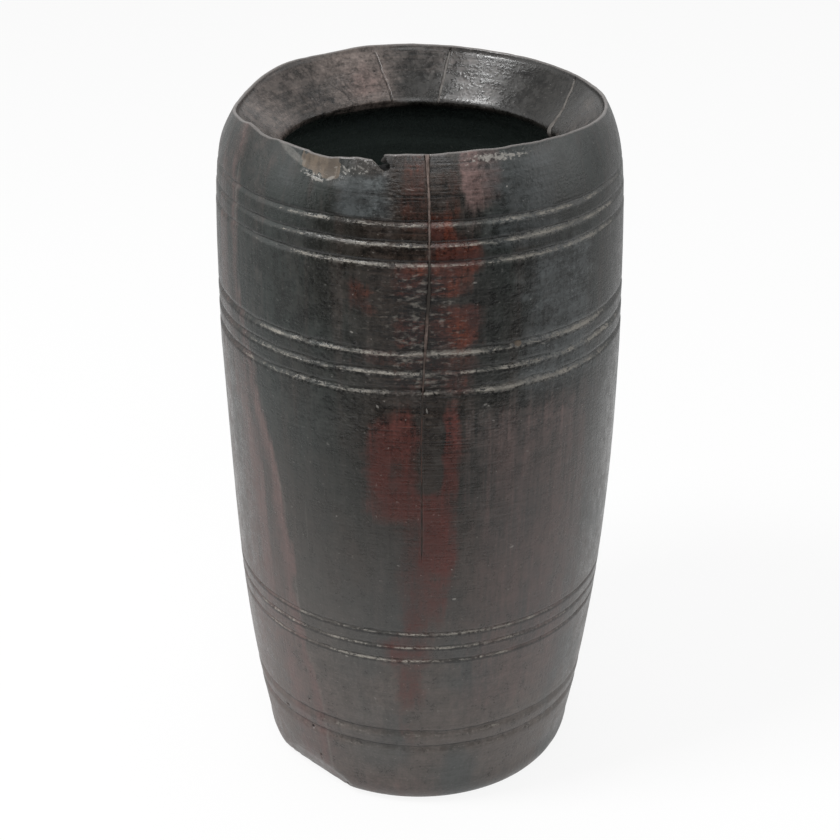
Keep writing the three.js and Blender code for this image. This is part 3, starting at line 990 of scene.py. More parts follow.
@dataclass(frozen=True)
class Patch:
    """A soft patch on the outside, as a flattened bell over angle and height.

    Attributes:
        angle: Its middle.
        half_angle: Half its width in degrees.
        low: Its lower end.
        high: Its upper end.
        strength: How strong it is, where 1 is full.
        soft: Height over which its ends fade.
    """

    angle: float
    half_angle: float
    low: float
    high: float
    strength: float = 1.0
    soft: float = 6.0

    def at(self, angle: Array, height: Array) -> Array:
        """Strength of the patch at angles and heights."""
        across = np.abs(turned_by(angle, self.angle)) / self.half_angle
        ends = smooth(height, self.low - self.soft, self.low + self.soft)
        ends = ends * smooth(height, self.high + self.soft, self.high - self.soft)
        return self.strength * smooth(across, 1.6, 0.45) * ends


@dataclass
class SurfaceMarks:
    """Where heartwood, sapwood, wear, soot, painted sheen, a painted highlight and painted shade
    show, written to the skin as smooth fields.

    The material cuts its sharp edges out of these fields, so they stay fine between the vertices.

    Attributes:
        log: Sizes of the log.
        body: The jug, for its chip and its lace hole.
        heart: Patches of red heartwood.
        heart_gaps: Dark gaps in it.
        sap: Patches of paler wood.
        painted_sheen: Patches where a sheen is painted into the colour as a pale grey-blue.
        pale_line: Pairs of height and angle of the pale line down the left.
        parting: Share of the wall, from the outside, where the inside's look begins.
        plain_wall: Thickness of the wall that this share is taken of below the lip.
    """

    log: Log = field(default_factory=Log)
    body: TurnedBody = field(default_factory=TurnedBody)
    heart: tuple[Patch, ...] = rows_of(
        Patch,
        (278.6, 5.6, 235, 301, 0.56, 3), (271, 7.5, 118, 190, 0.5, 12),
        (268.5, 3.6, 308, 345, 0.42, 5), (277.9, 3.0, 308, 336, 0.32, 6),
        (275.5, 3.4, 299, 317, 0.95), (278.8, 6.6, 292, 305, 0.95, 3),
        (267.3, 3.9, 279, 296, 1.0, 3), (276.5, 4.4, 280, 296, 1.05, 3),
        (255.1, 3.2, 272, 286, 0.62, 3), (278.5, 6.6, 256, 277, 1.0, 3),
        (267.3, 3.9, 258, 271, 1.05, 3), (269.8, 15, 247, 254, 0.62, 2),
        (273.5, 11, 238, 245, 0.5, 2), (262.6, 6.8, 182, 230, 0.85, 5),
        (264.8, 4.6, 204, 228, 0.45, 5), (278.3, 2.7, 184, 229, 0.78, 6),
        (268, 11.5, 170, 190, 0.8, 7), (274.2, 5.3, 138, 180, 0.9, 12),
        (273.4, 4.4, 112, 146, 0.62, 10), (269.6, 4.4, 104, 130, 0.62, 8),
        (265.7, 7.4, 90, 108, 0.62, 6), (267.1, 4.4, 62, 94, 0.6, 8), (266.5, 3.2, 30, 66, 0.3, 14))
    heart_gaps: tuple[Patch, ...] = rows_of(
        Patch,
        (272.9, 2.6, 186, 236, 0.75, 4), (263.5, 1.5, 188, 203, 0.35, 3),
        (271.3, 12, 276.5, 280.5, 0.9, 1.2), (259, 5, 222, 234, 0.45, 3))
    sap: tuple[Patch, ...] = rows_of(
        Patch,
        (231, 12, -30, 70, 0.5, 25), (283.7, 3.0, 318, 342, 1.0, 5),
        (289.0, 3.2, 320, 342, 0.72, 5), (283.4, 3.0, 306, 320, 0.3, 4),
        (218, 8, 215, 350, 0.24, 15), (304, 22, 55, 228, 0.5, 14), (250, 30, -30, 20, 0.5, 22),
        (96, 26, -30, 360, 0.45), (128, 9, 20, 300, 0.4, 40), (32, 8, -30, 220, 0.25, 40),
        (258, 3.5, 60, 150, 0.14, 20))
    # Patches of painted sheen under the rim and down the right side.
    painted_sheen: tuple[Patch, ...] = rows_of(
        Patch,
        (254, 7.5, 314, 333, 0.95, 3), (231, 4, 320, 336, 0.45, 3), (299, 12, 298, 340, 0.7, 6),
        (311, 14, 226, 300, 0.75, 12))
    pale_line: Pairs = (
        (58, 237), (87, 232.8), (115, 230.4), (137, 229.6), (158, 228.6), (167, 227.6),
        (183, 225.4), (207, 221.4), (226, 219.5), (250, 214.5), (265, 211.5), (300, 210),
        (345, 209.5))
    parting: float = 0.56
    plain_wall: float = 9.0

    def write(self, piece: bpy.types.Object) -> None:
        """Works the fields out at the vertices of the finished skin and stores them on it."""
        mesh = piece.data
        flat = np.empty(len(mesh.vertices) * 3)
        mesh.vertices.foreach_get("co", flat)
        points = flat.reshape(-1, 3) / MM
        for name, values in self.fields(points).items():
            layer = mesh.attributes.new(name, "FLOAT", "POINT")
            layer.data.foreach_set("value", np.asarray(values, np.float32))

    def fields(self, points: Array) -> dict[str, Array]:
        """All fields at points in millimetres, by name."""
        g = self.log
        x = points[:, 0] - g.shift(points[:, 2])
        angle = np.mod(np.degrees(np.arctan2(points[:, 1], x)), 360)
        radius = np.hypot(x, points[:, 1])
        height = g.straightened(angle, points[:, 2])
        outer, below = g.plain_radius(height), g.rim_height - height
        inside, under = self.parts(radius, height, outer)
        outside = ~inside & ~under
        pale, dark, wear = self.grooves(angle, height)
        bent = angle + 1.3 * Wander(90, 9, 9).at(angle, height)
        bent = bent + 0.6 * Wander(91, 3, 4).at(angle, height)
        waved = height + 2.5 * Wander(92, 5, 14).at(angle, height)
        heart = self.strongest(self.heart, bent, waved)
        heart = heart - self.strongest(self.heart_gaps, bent, height)
        sap = np.maximum(self.strongest(self.sap, bent, height), self.left_sap(angle, bent, height))
        depth = np.where(inside, smooth(height, g.rim_height - g.lip_drop - 1, 300), 0)
        line = np.abs(turned_by(angle, along(height, self.pale_line))) * 1.6
        torn = smooth(np.abs(turned_by(angle, 129)), 16, 6) * smooth(np.abs(below - 22), 14, 6)
        chip = np.where(outside, self.body.chip(angle, height), 0.0) * smooth(angle, 248.4, 246.2)
        # Patches where a sheen is painted into the colour.
        painted_sheen = self.strongest(self.painted_sheen, bent, height)
        warm = bell_round(angle, 268, 17) * smooth(height, 60, 200)
        return {
            "pale_gap": np.where(outside, pale, FAR),
            "dark_gap": np.where(outside, dark, FAR),
            "scuff": np.where(outside, wear, 0.0),
            "heartwood": np.where(outside, heart, self.inside_red(angle, below) * inside),
            "painted_sheen": np.where(outside, painted_sheen, 0.0),
            "sapwood": np.where(outside, sap, self.inside_sap(angle, below) * inside),
            "inside": np.where(inside, 0.35 + 0.65 * depth, 0.0),
            "bare": chip + self.small_chips(angle, height),
            "graze": np.where(outside, self.grazes(angle, below), 0.0),
            "line": np.where(outside, line, FAR),
            "crest": np.where(under, FAR, np.maximum(below, 0)),
            "pitted": np.where(outside, self.pitted(angle, height), 0.0),
            "turning": np.where(outside, self.turning(angle, height), 0.35 * inside),
            "torn": np.where(inside, torn, 0.0),
            "low": smooth(height, 290, 20),
            # Where the painted highlight runs along the lip's crest.
            "lip": np.where(inside, self.lip_crest(angle, radius, height), 0.0),
            # Painted shade inside the lace hole.
            "bore": self.bore(points, outer - radius),
            "chip_end": smooth(angle, 242.6, 243.8) * smooth(angle, 246.8, 245.4),
            "smooth": np.where(outside, self.rubbed_smooth(angle, height), 1.3 * depth),
            "aside": smooth(np.abs(turned_by(angle, 300)), 75, 20),
            "warm": np.where(outside, warm, 0.0),
            **self.specks(angle, points[:, 2]),
        }

    def parts(self, radius: Array, height: Array, outer: Array) -> tuple[Array, Array]:
        """Which points lie inside the jug and which lie under its foot.

        Formula: a point is inside where it lies further in than a share of the wall, which is
        thinner above the lip.
        """
        g = self.log
        path_r, path_z, s = MouthPath(g).points()
        funnel = (s > 1.0) & (s < 34)
        inner = np.interp(height, path_z[funnel][::-1], path_r[funnel][::-1])
        wall = np.where(height > g.rim_height - g.lip_drop, g.rim_radius - inner, self.plain_wall)
        inside = (radius < outer - self.parting * wall) & (height > 3)
        return inside, (height < 2.6) & (radius < g.standing_radius + 0.5)

    def strongest(self, patches: Sequence[Patch], angle: Array, height: Array) -> Array:
        """The strongest of some patches at angles and heights."""
        return np.max([patch.at(angle, height) for patch in patches], 0)

    def left_sap(self, angle: Array, bent: Array, height: Array) -> Array:
        """Paler wood at the left, up to the pale line and strongest beside it."""
        past = turned_by(bent, along(height, self.pale_line))
        left = smooth(past, 1.6, -1.6) * smooth(past, -62, -34)
        left = left * (0.44 + 0.16 * Wander(93, 6, 60).at(angle, height))
        left = left + 0.42 * bell(past, -1.8, 2.0) + 0.22 * bell(past, -11, 3)
        return left * (1 - 0.35 * smooth(height, 215, 250))

    def rubbed_smooth(self, angle: Array, height: Array) -> Array:
        """Where hands have rubbed the wall smooth: at the waist, down the left and at the neck."""
        waist = smooth(height, 225, 195) * (0.72 + 0.28 * smooth(height, 85, 115))
        left = 0.75 * bell_round(angle, 205, 24)
        neck = 0.85 * smooth(height, 290, 310) * smooth(np.abs(turned_by(angle, 273)), 14, 24)
        return np.max([waist, left, neck], 0)

    def bore(self, points: Array, depth: Array) -> Array:
        """How far a point lies inside the lacing hole, where painted shade darkens it."""
        centre, _ = self.body.on_wall(self.body.lace.angle, self.body.lace_height())
        away = points - centre
        near = smooth(np.abs(away[:, 0]), 3.2, 2.6) * smooth(np.abs(away[:, 2]), 4.6, 4.0)
        return near * smooth(np.abs(away[:, 1]), 16, 12) * smooth(depth, 0.1, 0.4)

    def lip_crest(self, angle: Array, radius: Array, height: Array) -> Array:
        """How near a point is to the crest of the beaded lip at its far side, where a highlight is
        painted.
        """
        g = self.log
        r, z = radius - (g.lip_radius + g.bead), height - (g.rim_height - g.lip_drop)
        turn = np.degrees(np.arctan2(z, r))
        near = smooth(np.abs(np.hypot(r, z) - g.bead), 1.6, 0.8) * bell_round(angle, 104, 38)
        return near * bell_round(turn, 135, 10)

    def specks(self, angle: Array, height: Array) -> dict[str, Array]:
        """Place within the nearest speck as shares of its half length and half width.

        The shares run evenly over the wall, so the material can draw a speck finer than the mesh.
        """
        best = np.full(len(angle), 1e9)
        lengthwise, across = np.full(len(angle), FAR), np.full(len(angle), FAR)
        strength = np.zeros(len(angle))
        for speck in SPECKS:
            (a0, z0), (a1, z1) = speck.start, speck.end
            per_degree = float(self.log.plain_radius(z0)) * math.pi / 180
            way = np.array([(a1 - a0) * per_degree, z1 - z0])
            size = float(np.hypot(*way))
            way = way / size
            x = turned_by(angle, (a0 + a1) / 2) * per_degree
            z = height - (z0 + z1) / 2
            away = np.hypot(x, z)
            mine = away < best
            best = np.where(mine, away, best)
            u = (x * way[0] + z * way[1]) / (size / 2 + speck.half_width)
            v = (z * way[0] - x * way[1]) / speck.half_width
            lengthwise, across = np.where(mine, u, lengthwise), np.where(mine, v, across)
            reach = size / 2 + 4
            strength = np.where(mine, speck.strength * smooth(away, reach, reach - 1.5), strength)
        return {"speck_length": lengthwise, "speck_width": across, "speck_strength": strength}

    def grooves(self, angle: Array, height: Array) -> tuple[Array, Array, Array]:
        """Distances from the edges of the nearest groove, and its wear.

        Returns:
            Distance in mm from the scuffed lower edge, distance from the shaded upper side, and
            how strongly that groove is scuffed.
        """
        pale, dark, wear = np.full(len(angle), FAR), np.full(len(angle), FAR), np.zeros(len(angle))
        for band, k in self.log.grooves:
            away = height - band.centre(k, angle)
            to_pale = np.abs(away + 0.62 * band.width / 2) * 1.45 / band.width**0.5
            patchy = 0.85 + 0.38 * Wander(band.seed + k + 80, 22, 10).at(angle, 0)
            wear = np.where(to_pale < pale, band.worn(angle) * patchy, wear)
            pale = np.minimum(pale, to_pale)
            dark = np.minimum(dark, np.abs(away - band.shade_at))
        return pale, dark, wear

    def inside_red(self, angle: Array, below: Array) -> Array:
        """Reddish wood in the funnel, at its far side left of the middle."""
        return 0.42 * bell_round(angle, 112, 12) * bell(below, 14, 10)

    def inside_sap(self, angle: Array, below: Array) -> Array:
        """Paler wood in the funnel, all along its far and left side, and painted shade over its
        right side.
        """
        pale = 0.42 + 0.66 * bell_round(angle, 115, 16) + 0.3 * bell_round(angle, 160, 18)
        middle = (0.05 + 0.4 * smooth(below, 6, 15)) * bell_round(angle, 92, 8)
        # The bell at 36 degrees is painted shade that darkens the funnel's right side.
        return pale - 0.85 * bell_round(angle, 36, 20) - middle

    def small_chips(self, angle: Array, height: Array) -> Array:
        """The small bare chip in the top groove of the shoulder band, at the right of the front."""
        across = turned_by(angle, 296.8) / 1.3
        return smooth(np.hypot(across, (height - 254.9) / 1.6), 1.1, 0.5)

    def grazes(self, angle: Array, below: Array) -> Array:
        """Soft fields of pale scratches round the chip and under the rim at the right."""
        def spot(at: float, wide: float, deep: float, tall: float) -> Array:
            """A soft spot at an angle and a depth below the rim."""
            return bell_round(angle, at, wide) * bell(below, deep, tall)

        under_chip = 0.95 * spot(240.5, 4.2, 9.8, 1.7) + 0.6 * spot(237.0, 2.5, 7.5, 1.8)
        ridge = 0.45 * spot(231, 5, 3.8, 1.8) + 0.9 * spot(249.5, 3.2, 6.4, 2.0)
        ridge = ridge + 0.75 * spot(255, 3, 4.6, 1.6)
        right = 1.6 * spot(292.5, 8.5, 3.3, 1.0) + 0.5 * spot(281, 5, 4.2, 1.2)
        return under_chip + ridge + right

    def pitted(self, angle: Array, height: Array) -> Array:
        """Rough weathered wood about the crack between the neck and shoulder bands, and below."""
        upper = bell_round(angle, 270, 19) * smooth(height, 228, 240) * smooth(height, 300, 288)
        lower = 0.6 * bell_round(angle, 284, 9) * bell(height, 222, 10)
        left = 0.35 * bell_round(angle, 252, 8) * bell(height, 222, 12)
        notch = 0.7 * bell_round(angle, 262.8, 2.6) * bell(height, 322, 15)
        return np.max([upper, lower, left, notch], 0)

    def turning(self, angle: Array, height: Array) -> Array:
        """How clearly the turning lines show: plainest about the front crack."""
        front = bell_round(angle, 274, 15) * smooth(height, 130, 190)
        return 0.3 + 0.7 * front


def operator(operation: str, reflected: bool = False) -> Callable[["Socket", Any], "Socket"]:
    """A method of Socket that adds a Math or Vector Math node.

    Args:
        operation: The node's operation.
        reflected: Whether the socket comes second.

    Returns:
        The method, which takes the other value.
    """
    def method(self: "Socket", other: Any) -> "Socket":
        """Adds the node and hands back its output."""
        first, second = (other, self) if reflected else (self, other)
        return self.joined(operation, first, second)
    return method


class Socket:
    """An output of a material's nodes that can be reckoned with in Python expressions.

    The method most gives the larger of two values, and dot the scalar product of two vectors.
    """

    def __init__(self, board: "Board", link: bpy.types.NodeSocket) -> None:
        """Wraps a node's output socket."""
        self.board, self.link = board, link

    def joined(self, operation: str, first: Any, second: Any) -> "Socket":
        """A Math or Vector Math node on two values, by whether a vector is among them."""
        vector = any(isinstance(v, tuple) or isinstance(v, Socket) and v.link.type == "VECTOR"
                     for v in (first, second))
        if vector:
            spread = [v if isinstance(v, (Socket, tuple)) else (v, v, v) for v in (first, second)]
            return self.board.node(
                "ShaderNodeVectorMath", {"operation": operation}, dict(enumerate(spread)))
        return self.board.node("ShaderNodeMath", {"operation": operation}, {0: first, 1: second})

    __add__, __radd__ = operator("ADD"), operator("ADD", True)
    __sub__, __rsub__ = operator("SUBTRACT"), operator("SUBTRACT", True)
    __mul__, __rmul__ = operator("MULTIPLY"), operator("MULTIPLY", True)
    __truediv__, __rtruediv__ = operator("DIVIDE"), operator("DIVIDE", True)
    __pow__, most, dot = operator("POWER"), operator("MAXIMUM"), operator("DOT_PRODUCT")

    def __abs__(self) -> "Socket":
        """Size without its sign."""
        return self.board.node("ShaderNodeMath", {"operation": "ABSOLUTE"}, {0: self})

    def length(self) -> "Socket":
        """Length of a vector."""
        return self.board.node("ShaderNodeVectorMath", {"operation": "LENGTH"}, {0: self})

    def rise(self, low: float, high: float) -> "Socket":
        """Smooth step from 0 at low to 1 at high."""
        return self.board.node(
            "ShaderNodeMapRange", {"interpolation_type": "SMOOTHSTEP"},
            {"Value": self, "From Min": low, "From Max": high, "To Min": 0.0, "To Max": 1.0})

    def within(self) -> "Socket":
        """The value held between 0 and 1."""
        return self.board.node("ShaderNodeClamp", {}, {"Value": self, "Min": 0.0, "Max": 1.0})

    def swing(self, amount: Any) -> "Socket":
        """How far the value lies from one half, times an amount."""
        return (self - 0.5) * amount


class Board:
    """The nodes of one material or world."""

    def __init__(self, owner: Any) -> None:
        """Starts with an empty tree.

        Args:
            owner: A material or a world.
        """
        owner.use_nodes = True
        self.tree = owner.node_tree
        self.tree.nodes.clear()

    def node(self, kind: str, settings: Mapping[str, Any], sockets: Mapping[Any, Any],
             output: int | str = 0) -> Socket:
        """Adds a node.

        Args:
            kind: The node's type.
            settings: Its properties, set first.
            sockets: Values or links by socket name or number.
            output: Name or number of the output to hand back.

        Returns:
            That output.
        """
        made = self.tree.nodes.new(kind)
        for key, value in settings.items():
            setattr(made, key, value)
        for key, value in sockets.items():
            socket = made.inputs[key]
            if isinstance(value, Socket):
                self.tree.links.new(value.link, socket)
            elif socket.type == "RGBA":
                socket.default_value = (*value[:3], 1.0)
            else:
                socket.default_value = value
        outputs = [o for o in made.outputs if o.enabled]
        found = made.outputs[output] if isinstance(output, str) else (outputs or [None])[output]
        return Socket(self, found)

    def place(self, scale: Colour, offset: float = 0.0) -> Socket:
        """Object coordinates stretched along each axis."""
        return self.node("ShaderNodeMapping", {"vector_type": "POINT"}, {
            "Vector": self.spot(), "Scale": scale,
            "Location": (offset, offset * 0.7, offset * 1.3)})

    def noise(self, scale: Colour, detail: float = 3.0, offset: float = 0.0, bend: float = 0.0,
              rough: float = 0.55) -> Socket:
        """Cloudy noise from 0 to 1 with so many features a metre along each axis."""
        return self.node("ShaderNodeTexNoise", {}, {
            "Vector": self.place(scale, offset), "Scale": 1.0, "Detail": detail, "Roughness": rough,
            "Distortion": bend})

    def cells(self, scale: Colour, offset: float = 0.0) -> Socket:
        """Distance to the nearest of scattered points."""
        return self.node("ShaderNodeTexVoronoi", {}, {
            "Vector": self.place(scale, offset), "Scale": 1.0, "Randomness": 1.0}, "Distance")

    def spot(self) -> Socket:
        """Object coordinates in metres."""
        return self.node("ShaderNodeTexCoord", {}, {}, "Object")

    def ray(self, kind: str) -> Socket:
        """1 for rays of a kind, which the Light Path node names, and 0 for others."""
        return self.node("ShaderNodeLightPath", {}, {}, kind)

    def height(self) -> Socket:
        """Height in metres."""
        return self.node("ShaderNodeSeparateXYZ", {}, {0: self.spot()}, "Z")

    def streak(self, spot: Socket, start: Vector, end: Vector) -> Socket:
        """Distance in mm from the straight line between two points in mm."""
        way = end - start
        from_start = spot * (1 / MM, 1 / MM, 1 / MM) - tuple(start)
        share = (from_start.dot(tuple(way)) / way.length_squared).within()
        return (from_start - share * tuple(way)).length()

    def field(self, name: str) -> Socket:
        """A field that was written to the piece's vertices."""
        return self.node("ShaderNodeAttribute", {"attribute_name": name}, {}, "Fac")

    def blend(self, share: Any, first: Any, second: Any) -> Socket:
        """Colour between two colours."""
        return self.node("ShaderNodeMix", {"data_type": "RGBA"}, {0: share, 6: first, 7: second})

    def shade(self, colour: Socket, share: Socket) -> Socket:
        """Colour multiplied by a grey share."""
        return self.node("ShaderNodeMix", {"data_type": "RGBA", "blend_type": "MULTIPLY"},
                         {0: 1.0, 6: colour, 7: share})


@dataclass(frozen=True)
class Scratch:
    """A pale scratch or fleck on the outside, straight between two places.

    Attributes:
        start: Angle and height of one end.
        end: Angle and height of the other end.
        half_width: Half its width in mm.
        strength: How pale it is, from 0 to 1.
    """

    start: tuple[float, float]
    end: tuple[float, float]
    half_width: float
    strength: float

    def ends(self, log_sizes: Log) -> tuple[Vector, Vector]:
        """Both ends as points on the wall."""
        found = []
        for angle, height in (self.start, self.end):
            before = float(log_sizes.straightened(np.array(angle), np.array(height)))
            radius, turn = float(log_sizes.plain_radius(before)) - 0.3, math.radians(angle)
            shift = float(log_sizes.shift(np.array(height)))
            found.append(Vector((radius * math.cos(turn) + shift, radius * math.sin(turn), height)))
        return found[0], found[1]


SCRATCHES = rows_of(
    Scratch,
    ((256.4, 337.4), (260.0, 333.2), 0.26, 0.7), ((254.6, 336.3), (255.4, 335.6), 0.4, 0.7),
    ((252.6, 334.4), (254.3, 333.4), 0.45, 0.5), ((259.8, 332.3), (261.8, 332.4), 0.2, 0.5))
SPECKS = rows_of(
    Scratch,
    ((248.0, 333.4), (249.6, 331.6), 0.5, 0.7), ((266.2, 327.0), (268.6, 326.4), 0.3, 0.4),
    ((225.8, 338.2), (237.2, 331.2), 1.5, 0.34), ((239.0, 327.6), (242.5, 326.6), 0.6, 0.85),
    ((243.9, 327.4), (245.9, 328.8), 0.6, 0.85), ((279.5, 128.4), (280.0, 128.4), 0.55, 1.0),
    ((284.1, 286.1), (284.7, 286.0), 0.4, 0.7), ((289.5, 220.2), (289.9, 219.9), 0.4, 0.6),
    ((296.2, 152.0), (296.9, 152.3), 0.5, 0.75), ((251.8, 262.7), (252.3, 262.4), 0.45, 0.7),
    ((258.5, 229.0), (258.9, 228.0), 0.45, 0.75), ((287.1, 228.4), (287.7, 228.6), 0.45, 0.7),
    ((271.6, 228.2), (271.8, 226.4), 0.4, 0.6), ((304.0, 252.5), (305.0, 251.9), 0.4, 0.5),
    ((263.4, 147.4), (263.9, 147.0), 0.35, 0.5), ((235.6, 174.0), (236.0, 143.0), 0.35, 0.1),
    ((247.0, 91.5), (247.6, 91.3), 0.5, 0.8), ((300.0, 201.0), (300.4, 200.8), 0.4, 0.4),
    ((244.0, 206.0), (244.4, 205.8), 0.4, 0.4), ((313.0, 118.0), (313.5, 117.7), 0.45, 0.4),
    ((256.0, 69.0), (256.3, 68.2), 0.4, 0.5), ((20.0, 180.0), (20.6, 180.4), 0.5, 0.6),
    ((64.0, 262.0), (64.5, 261.4), 0.5, 0.6), ((98.0, 140.0), (101.0, 138.0), 0.4, 0.5),
    ((140.0, 224.0), (140.4, 205.0), 0.35, 0.35), ((168.0, 70.0), (168.6, 70.3), 0.5, 0.6))


@dataclass(frozen=True)
class SmokedWood:
    """Smoke-blackened hardwood, rubbed to a soft gloss, with its heartwood showing through and
    patches of painted sheen.
    """

    name: str = "smoke_black_wood"
    smoke: Colour = (0.0092, 0.0102, 0.0084)
    smoke_cool: Colour = (0.0115, 0.0158, 0.0142)
    smoke_warm: Colour = (0.024, 0.0185, 0.0155)
    brown_black: Colour = (0.0165, 0.0095, 0.0062)
    # Paler colours of the lower wall.
    worn: Colour = (0.072, 0.0600, 0.0530)
    low_pale_cool: Colour = (0.050, 0.0520, 0.0500)
    # Pale grey-blue of the painted sheen.
    sheen_grey: Colour = (0.038, 0.0425, 0.0430)
    sap: Colour = (0.085, 0.0540, 0.0490)
    heart: Colour = (0.108, 0.0195, 0.0055)
    maroon: Colour = (0.070, 0.0145, 0.0100)
    heart_dark: Colour = (0.031, 0.0085, 0.0058)
    soot: Colour = (0.050, 0.063, 0.058)
    funnel_dark: Colour = (0.0105, 0.0098, 0.0085)
    funnel_pale: Colour = (0.102, 0.083, 0.074)
    dust: Colour = (0.285, 0.265, 0.230)
    bare: Colour = (0.108, 0.081, 0.057)
    pale: Colour = (0.29, 0.275, 0.25)
    edge: Colour = (0.135, 0.124, 0.118)
    # Pale grey of the painted highlight on the lip.
    lip_highlight: Colour = (0.225, 0.215, 0.205)
    funnel_red: Colour = (0.11, 0.055, 0.05)
    # Near black of the painted shade in the lace hole.
    bored: Colour = (0.004, 0.004, 0.004)

    def make(self) -> bpy.types.Material:
        """Builds the material."""
        material = bpy.data.materials.new(self.name)
        b = Board(material)
        fibre = b.noise((700, 700, 26), 5, 3.1)
        broad_fibre = b.noise((190, 190, 6), 3, 5.2)
        rings = b.noise((24, 24, 760), 5, 7.7, rough=0.65)
        cloud = b.noise((24, 24, 15), 3, 1.3)
        mottle = b.noise((170, 170, 140), 5, 2.4, rough=0.62)
        grit = b.noise((950, 950, 950), 3, 9.4)
        nibble = b.noise((600, 600, 780), 3, 6.6, rough=0.6)
        turning = b.field("turning")
        colour = self.skin_colour(b, fibre, broad_fibre, cloud, mottle)
        colour = self.add_heart(b, colour, fibre, rings, mottle)
        colour = self.add_inside(b, colour, mottle)
        lines = rings.swing(turning)
        calm = 1 - b.field("smooth") * 0.7
        tone = fibre.swing(1.1) + lines * 4.4 + mottle.swing(2.6) + grit.swing(1.2)
        tone = tone + nibble.swing(1.8)
        colour = b.shade(colour, (1.02 + tone * calm).most(0.16))
        scuffs, dark = self.scuffs(b, mottle, nibble, grit)
        # Painted shade along one side of each groove.
        colour = b.shade(colour, 1 - dark * 0.6)
        colour = self.add_pits(b, colour, nibble)
        colour = b.blend(scuffs * (0.22 + nibble * 1.0).within(), colour, self.dust)
        bare = (b.field("bare") + mottle.swing(0.6)).rise(0.42, 0.6)
        flutes = b.noise((420, 420, 60), 3, 6.1).rise(0.3, 0.65) * (1 - b.field("chip_end"))
        tan = b.blend(flutes, tuple(0.55 * c for c in self.bare), self.bare)
        colour = b.blend(bare * 0.92, colour, tan)
        grazes = self.grazes(b, nibble, grit) * (1 - b.field("bore"))
        colour = b.blend((grazes * (0.1 + nibble * 1.25)).within() * 0.85, colour, self.pale)
        crest = (b.field("crest") + mottle.swing(0.7) + grit.swing(0.4)).rise(0.75, 0.2)
        colour = b.blend(crest * 0.8, colour, self.edge)
        # Painted highlight along the crest of the lip.
        lip_highlight_share = b.field("lip") * (mottle + nibble * 0.6).rise(0.45, 0.85)
        colour = b.blend(lip_highlight_share, colour, self.lip_highlight)
        # Painted shade: the inside of the lace hole turns near black.
        colour = b.blend(b.field("bore"), colour, self.bored)
        rough = 0.28 + cloud.swing(0.2) + mottle.swing(0.5) + nibble.swing(0.35)
        rough = rough + b.field("pitted") * 0.16
        rough = rough + scuffs * 0.3 + grazes * 0.15 + bare * 0.35 + crest * 0.1
        rough = rough + b.field("low") * 0.1 + b.field("bore") * 0.6
        relief = fibre * 0.5 + rings * (0.2 + turning * 1.3) + grit * 0.3 + mottle * 0.9
        relief = relief + nibble * 0.8
        relief = relief + self.pits(b, nibble) + b.field("torn") * (nibble * 3.0 + mottle * 5.0)
        relief = relief + (scuffs + grazes) * nibble * 1.4
        bump = b.node("ShaderNodeBump", {}, {
            "Strength": 0.36, "Distance": 0.5 * MM, "Height": relief}, "Normal")
        skin = b.node("ShaderNodeBsdfPrincipled", {}, {
            "Base Color": colour, "Roughness": rough.within(), "Normal": bump, "IOR": 1.5})
        b.node("ShaderNodeOutputMaterial", {}, {"Surface": skin})
        return material

    def skin_colour(self, b: Board, fibre: Socket, broad_fibre: Socket, cloud: Socket,
                    mottle: Socket) -> Socket:
        """Smoke black with cooler and warmer clouds, paler sapwood, a paler lower part and patches
        of painted sheen.
        """
        colour = b.blend(cloud.rise(0.40, 0.60), self.smoke, self.smoke_cool)
        colour = b.blend(b.field("warm") * (0.6 + broad_fibre * 0.6), colour, self.brown_black)
        colour = b.blend(broad_fibre.rise(0.5, 0.72) * 0.55, colour, self.smoke_warm)
        # The wall turns paler towards the foot, and cooler in cloudy patches towards the right-hand
        # front.
        low = (b.field("low") ** 1.5 + mottle.swing(0.25) + broad_fibre.swing(0.2)).within()
        worn = b.blend(cloud.rise(0.42, 0.6) * b.field("aside"), self.worn, self.low_pale_cool)
        colour = b.blend(low, colour, worn)
        sap = b.field("sapwood") * (0.5 + broad_fibre) + fibre.swing(0.5) + mottle.swing(0.3)
        colour = b.blend(sap.rise(0.12, 1.0), colour, self.sap)
        drawn = b.noise((60, 60, 420), 3, 41.0)
        # Painted sheen: pale grey-blue patches, streaked up and down, stand in for the gloss
        # catching light.
        rubbed = (b.field("painted_sheen") + mottle.swing(0.6) + drawn.swing(0.7)).rise(0.2, 1.0)
        return b.blend(rubbed, colour, b.shade(self.sheen_grey, 0.45 + drawn * 1.1))

    def add_heart(self, b: Board, colour: Socket, fibre: Socket, rings: Socket,
                  mottle: Socket) -> Socket:
        """Red heartwood with ragged edges, smudged with dark and crossed by fine turning lines."""
        ragged = fibre.swing(0.5) + mottle.swing(0.8) + rings.swing(0.5)
        mask = (b.field("heartwood") + ragged).rise(0.12, 1.0)
        smudge = b.noise((75, 75, 40), 5, 12.5) + rings.swing(0.7) + mottle.swing(0.5)
        upper = b.height().rise(0.228, 0.252)
        red = b.blend(upper, self.maroon, self.heart)
        red = b.blend(smudge.rise(0.32, 0.62) * (0.45 + upper * 0.55), red, self.heart_dark)
        return b.blend(mask * 0.95, colour, red)

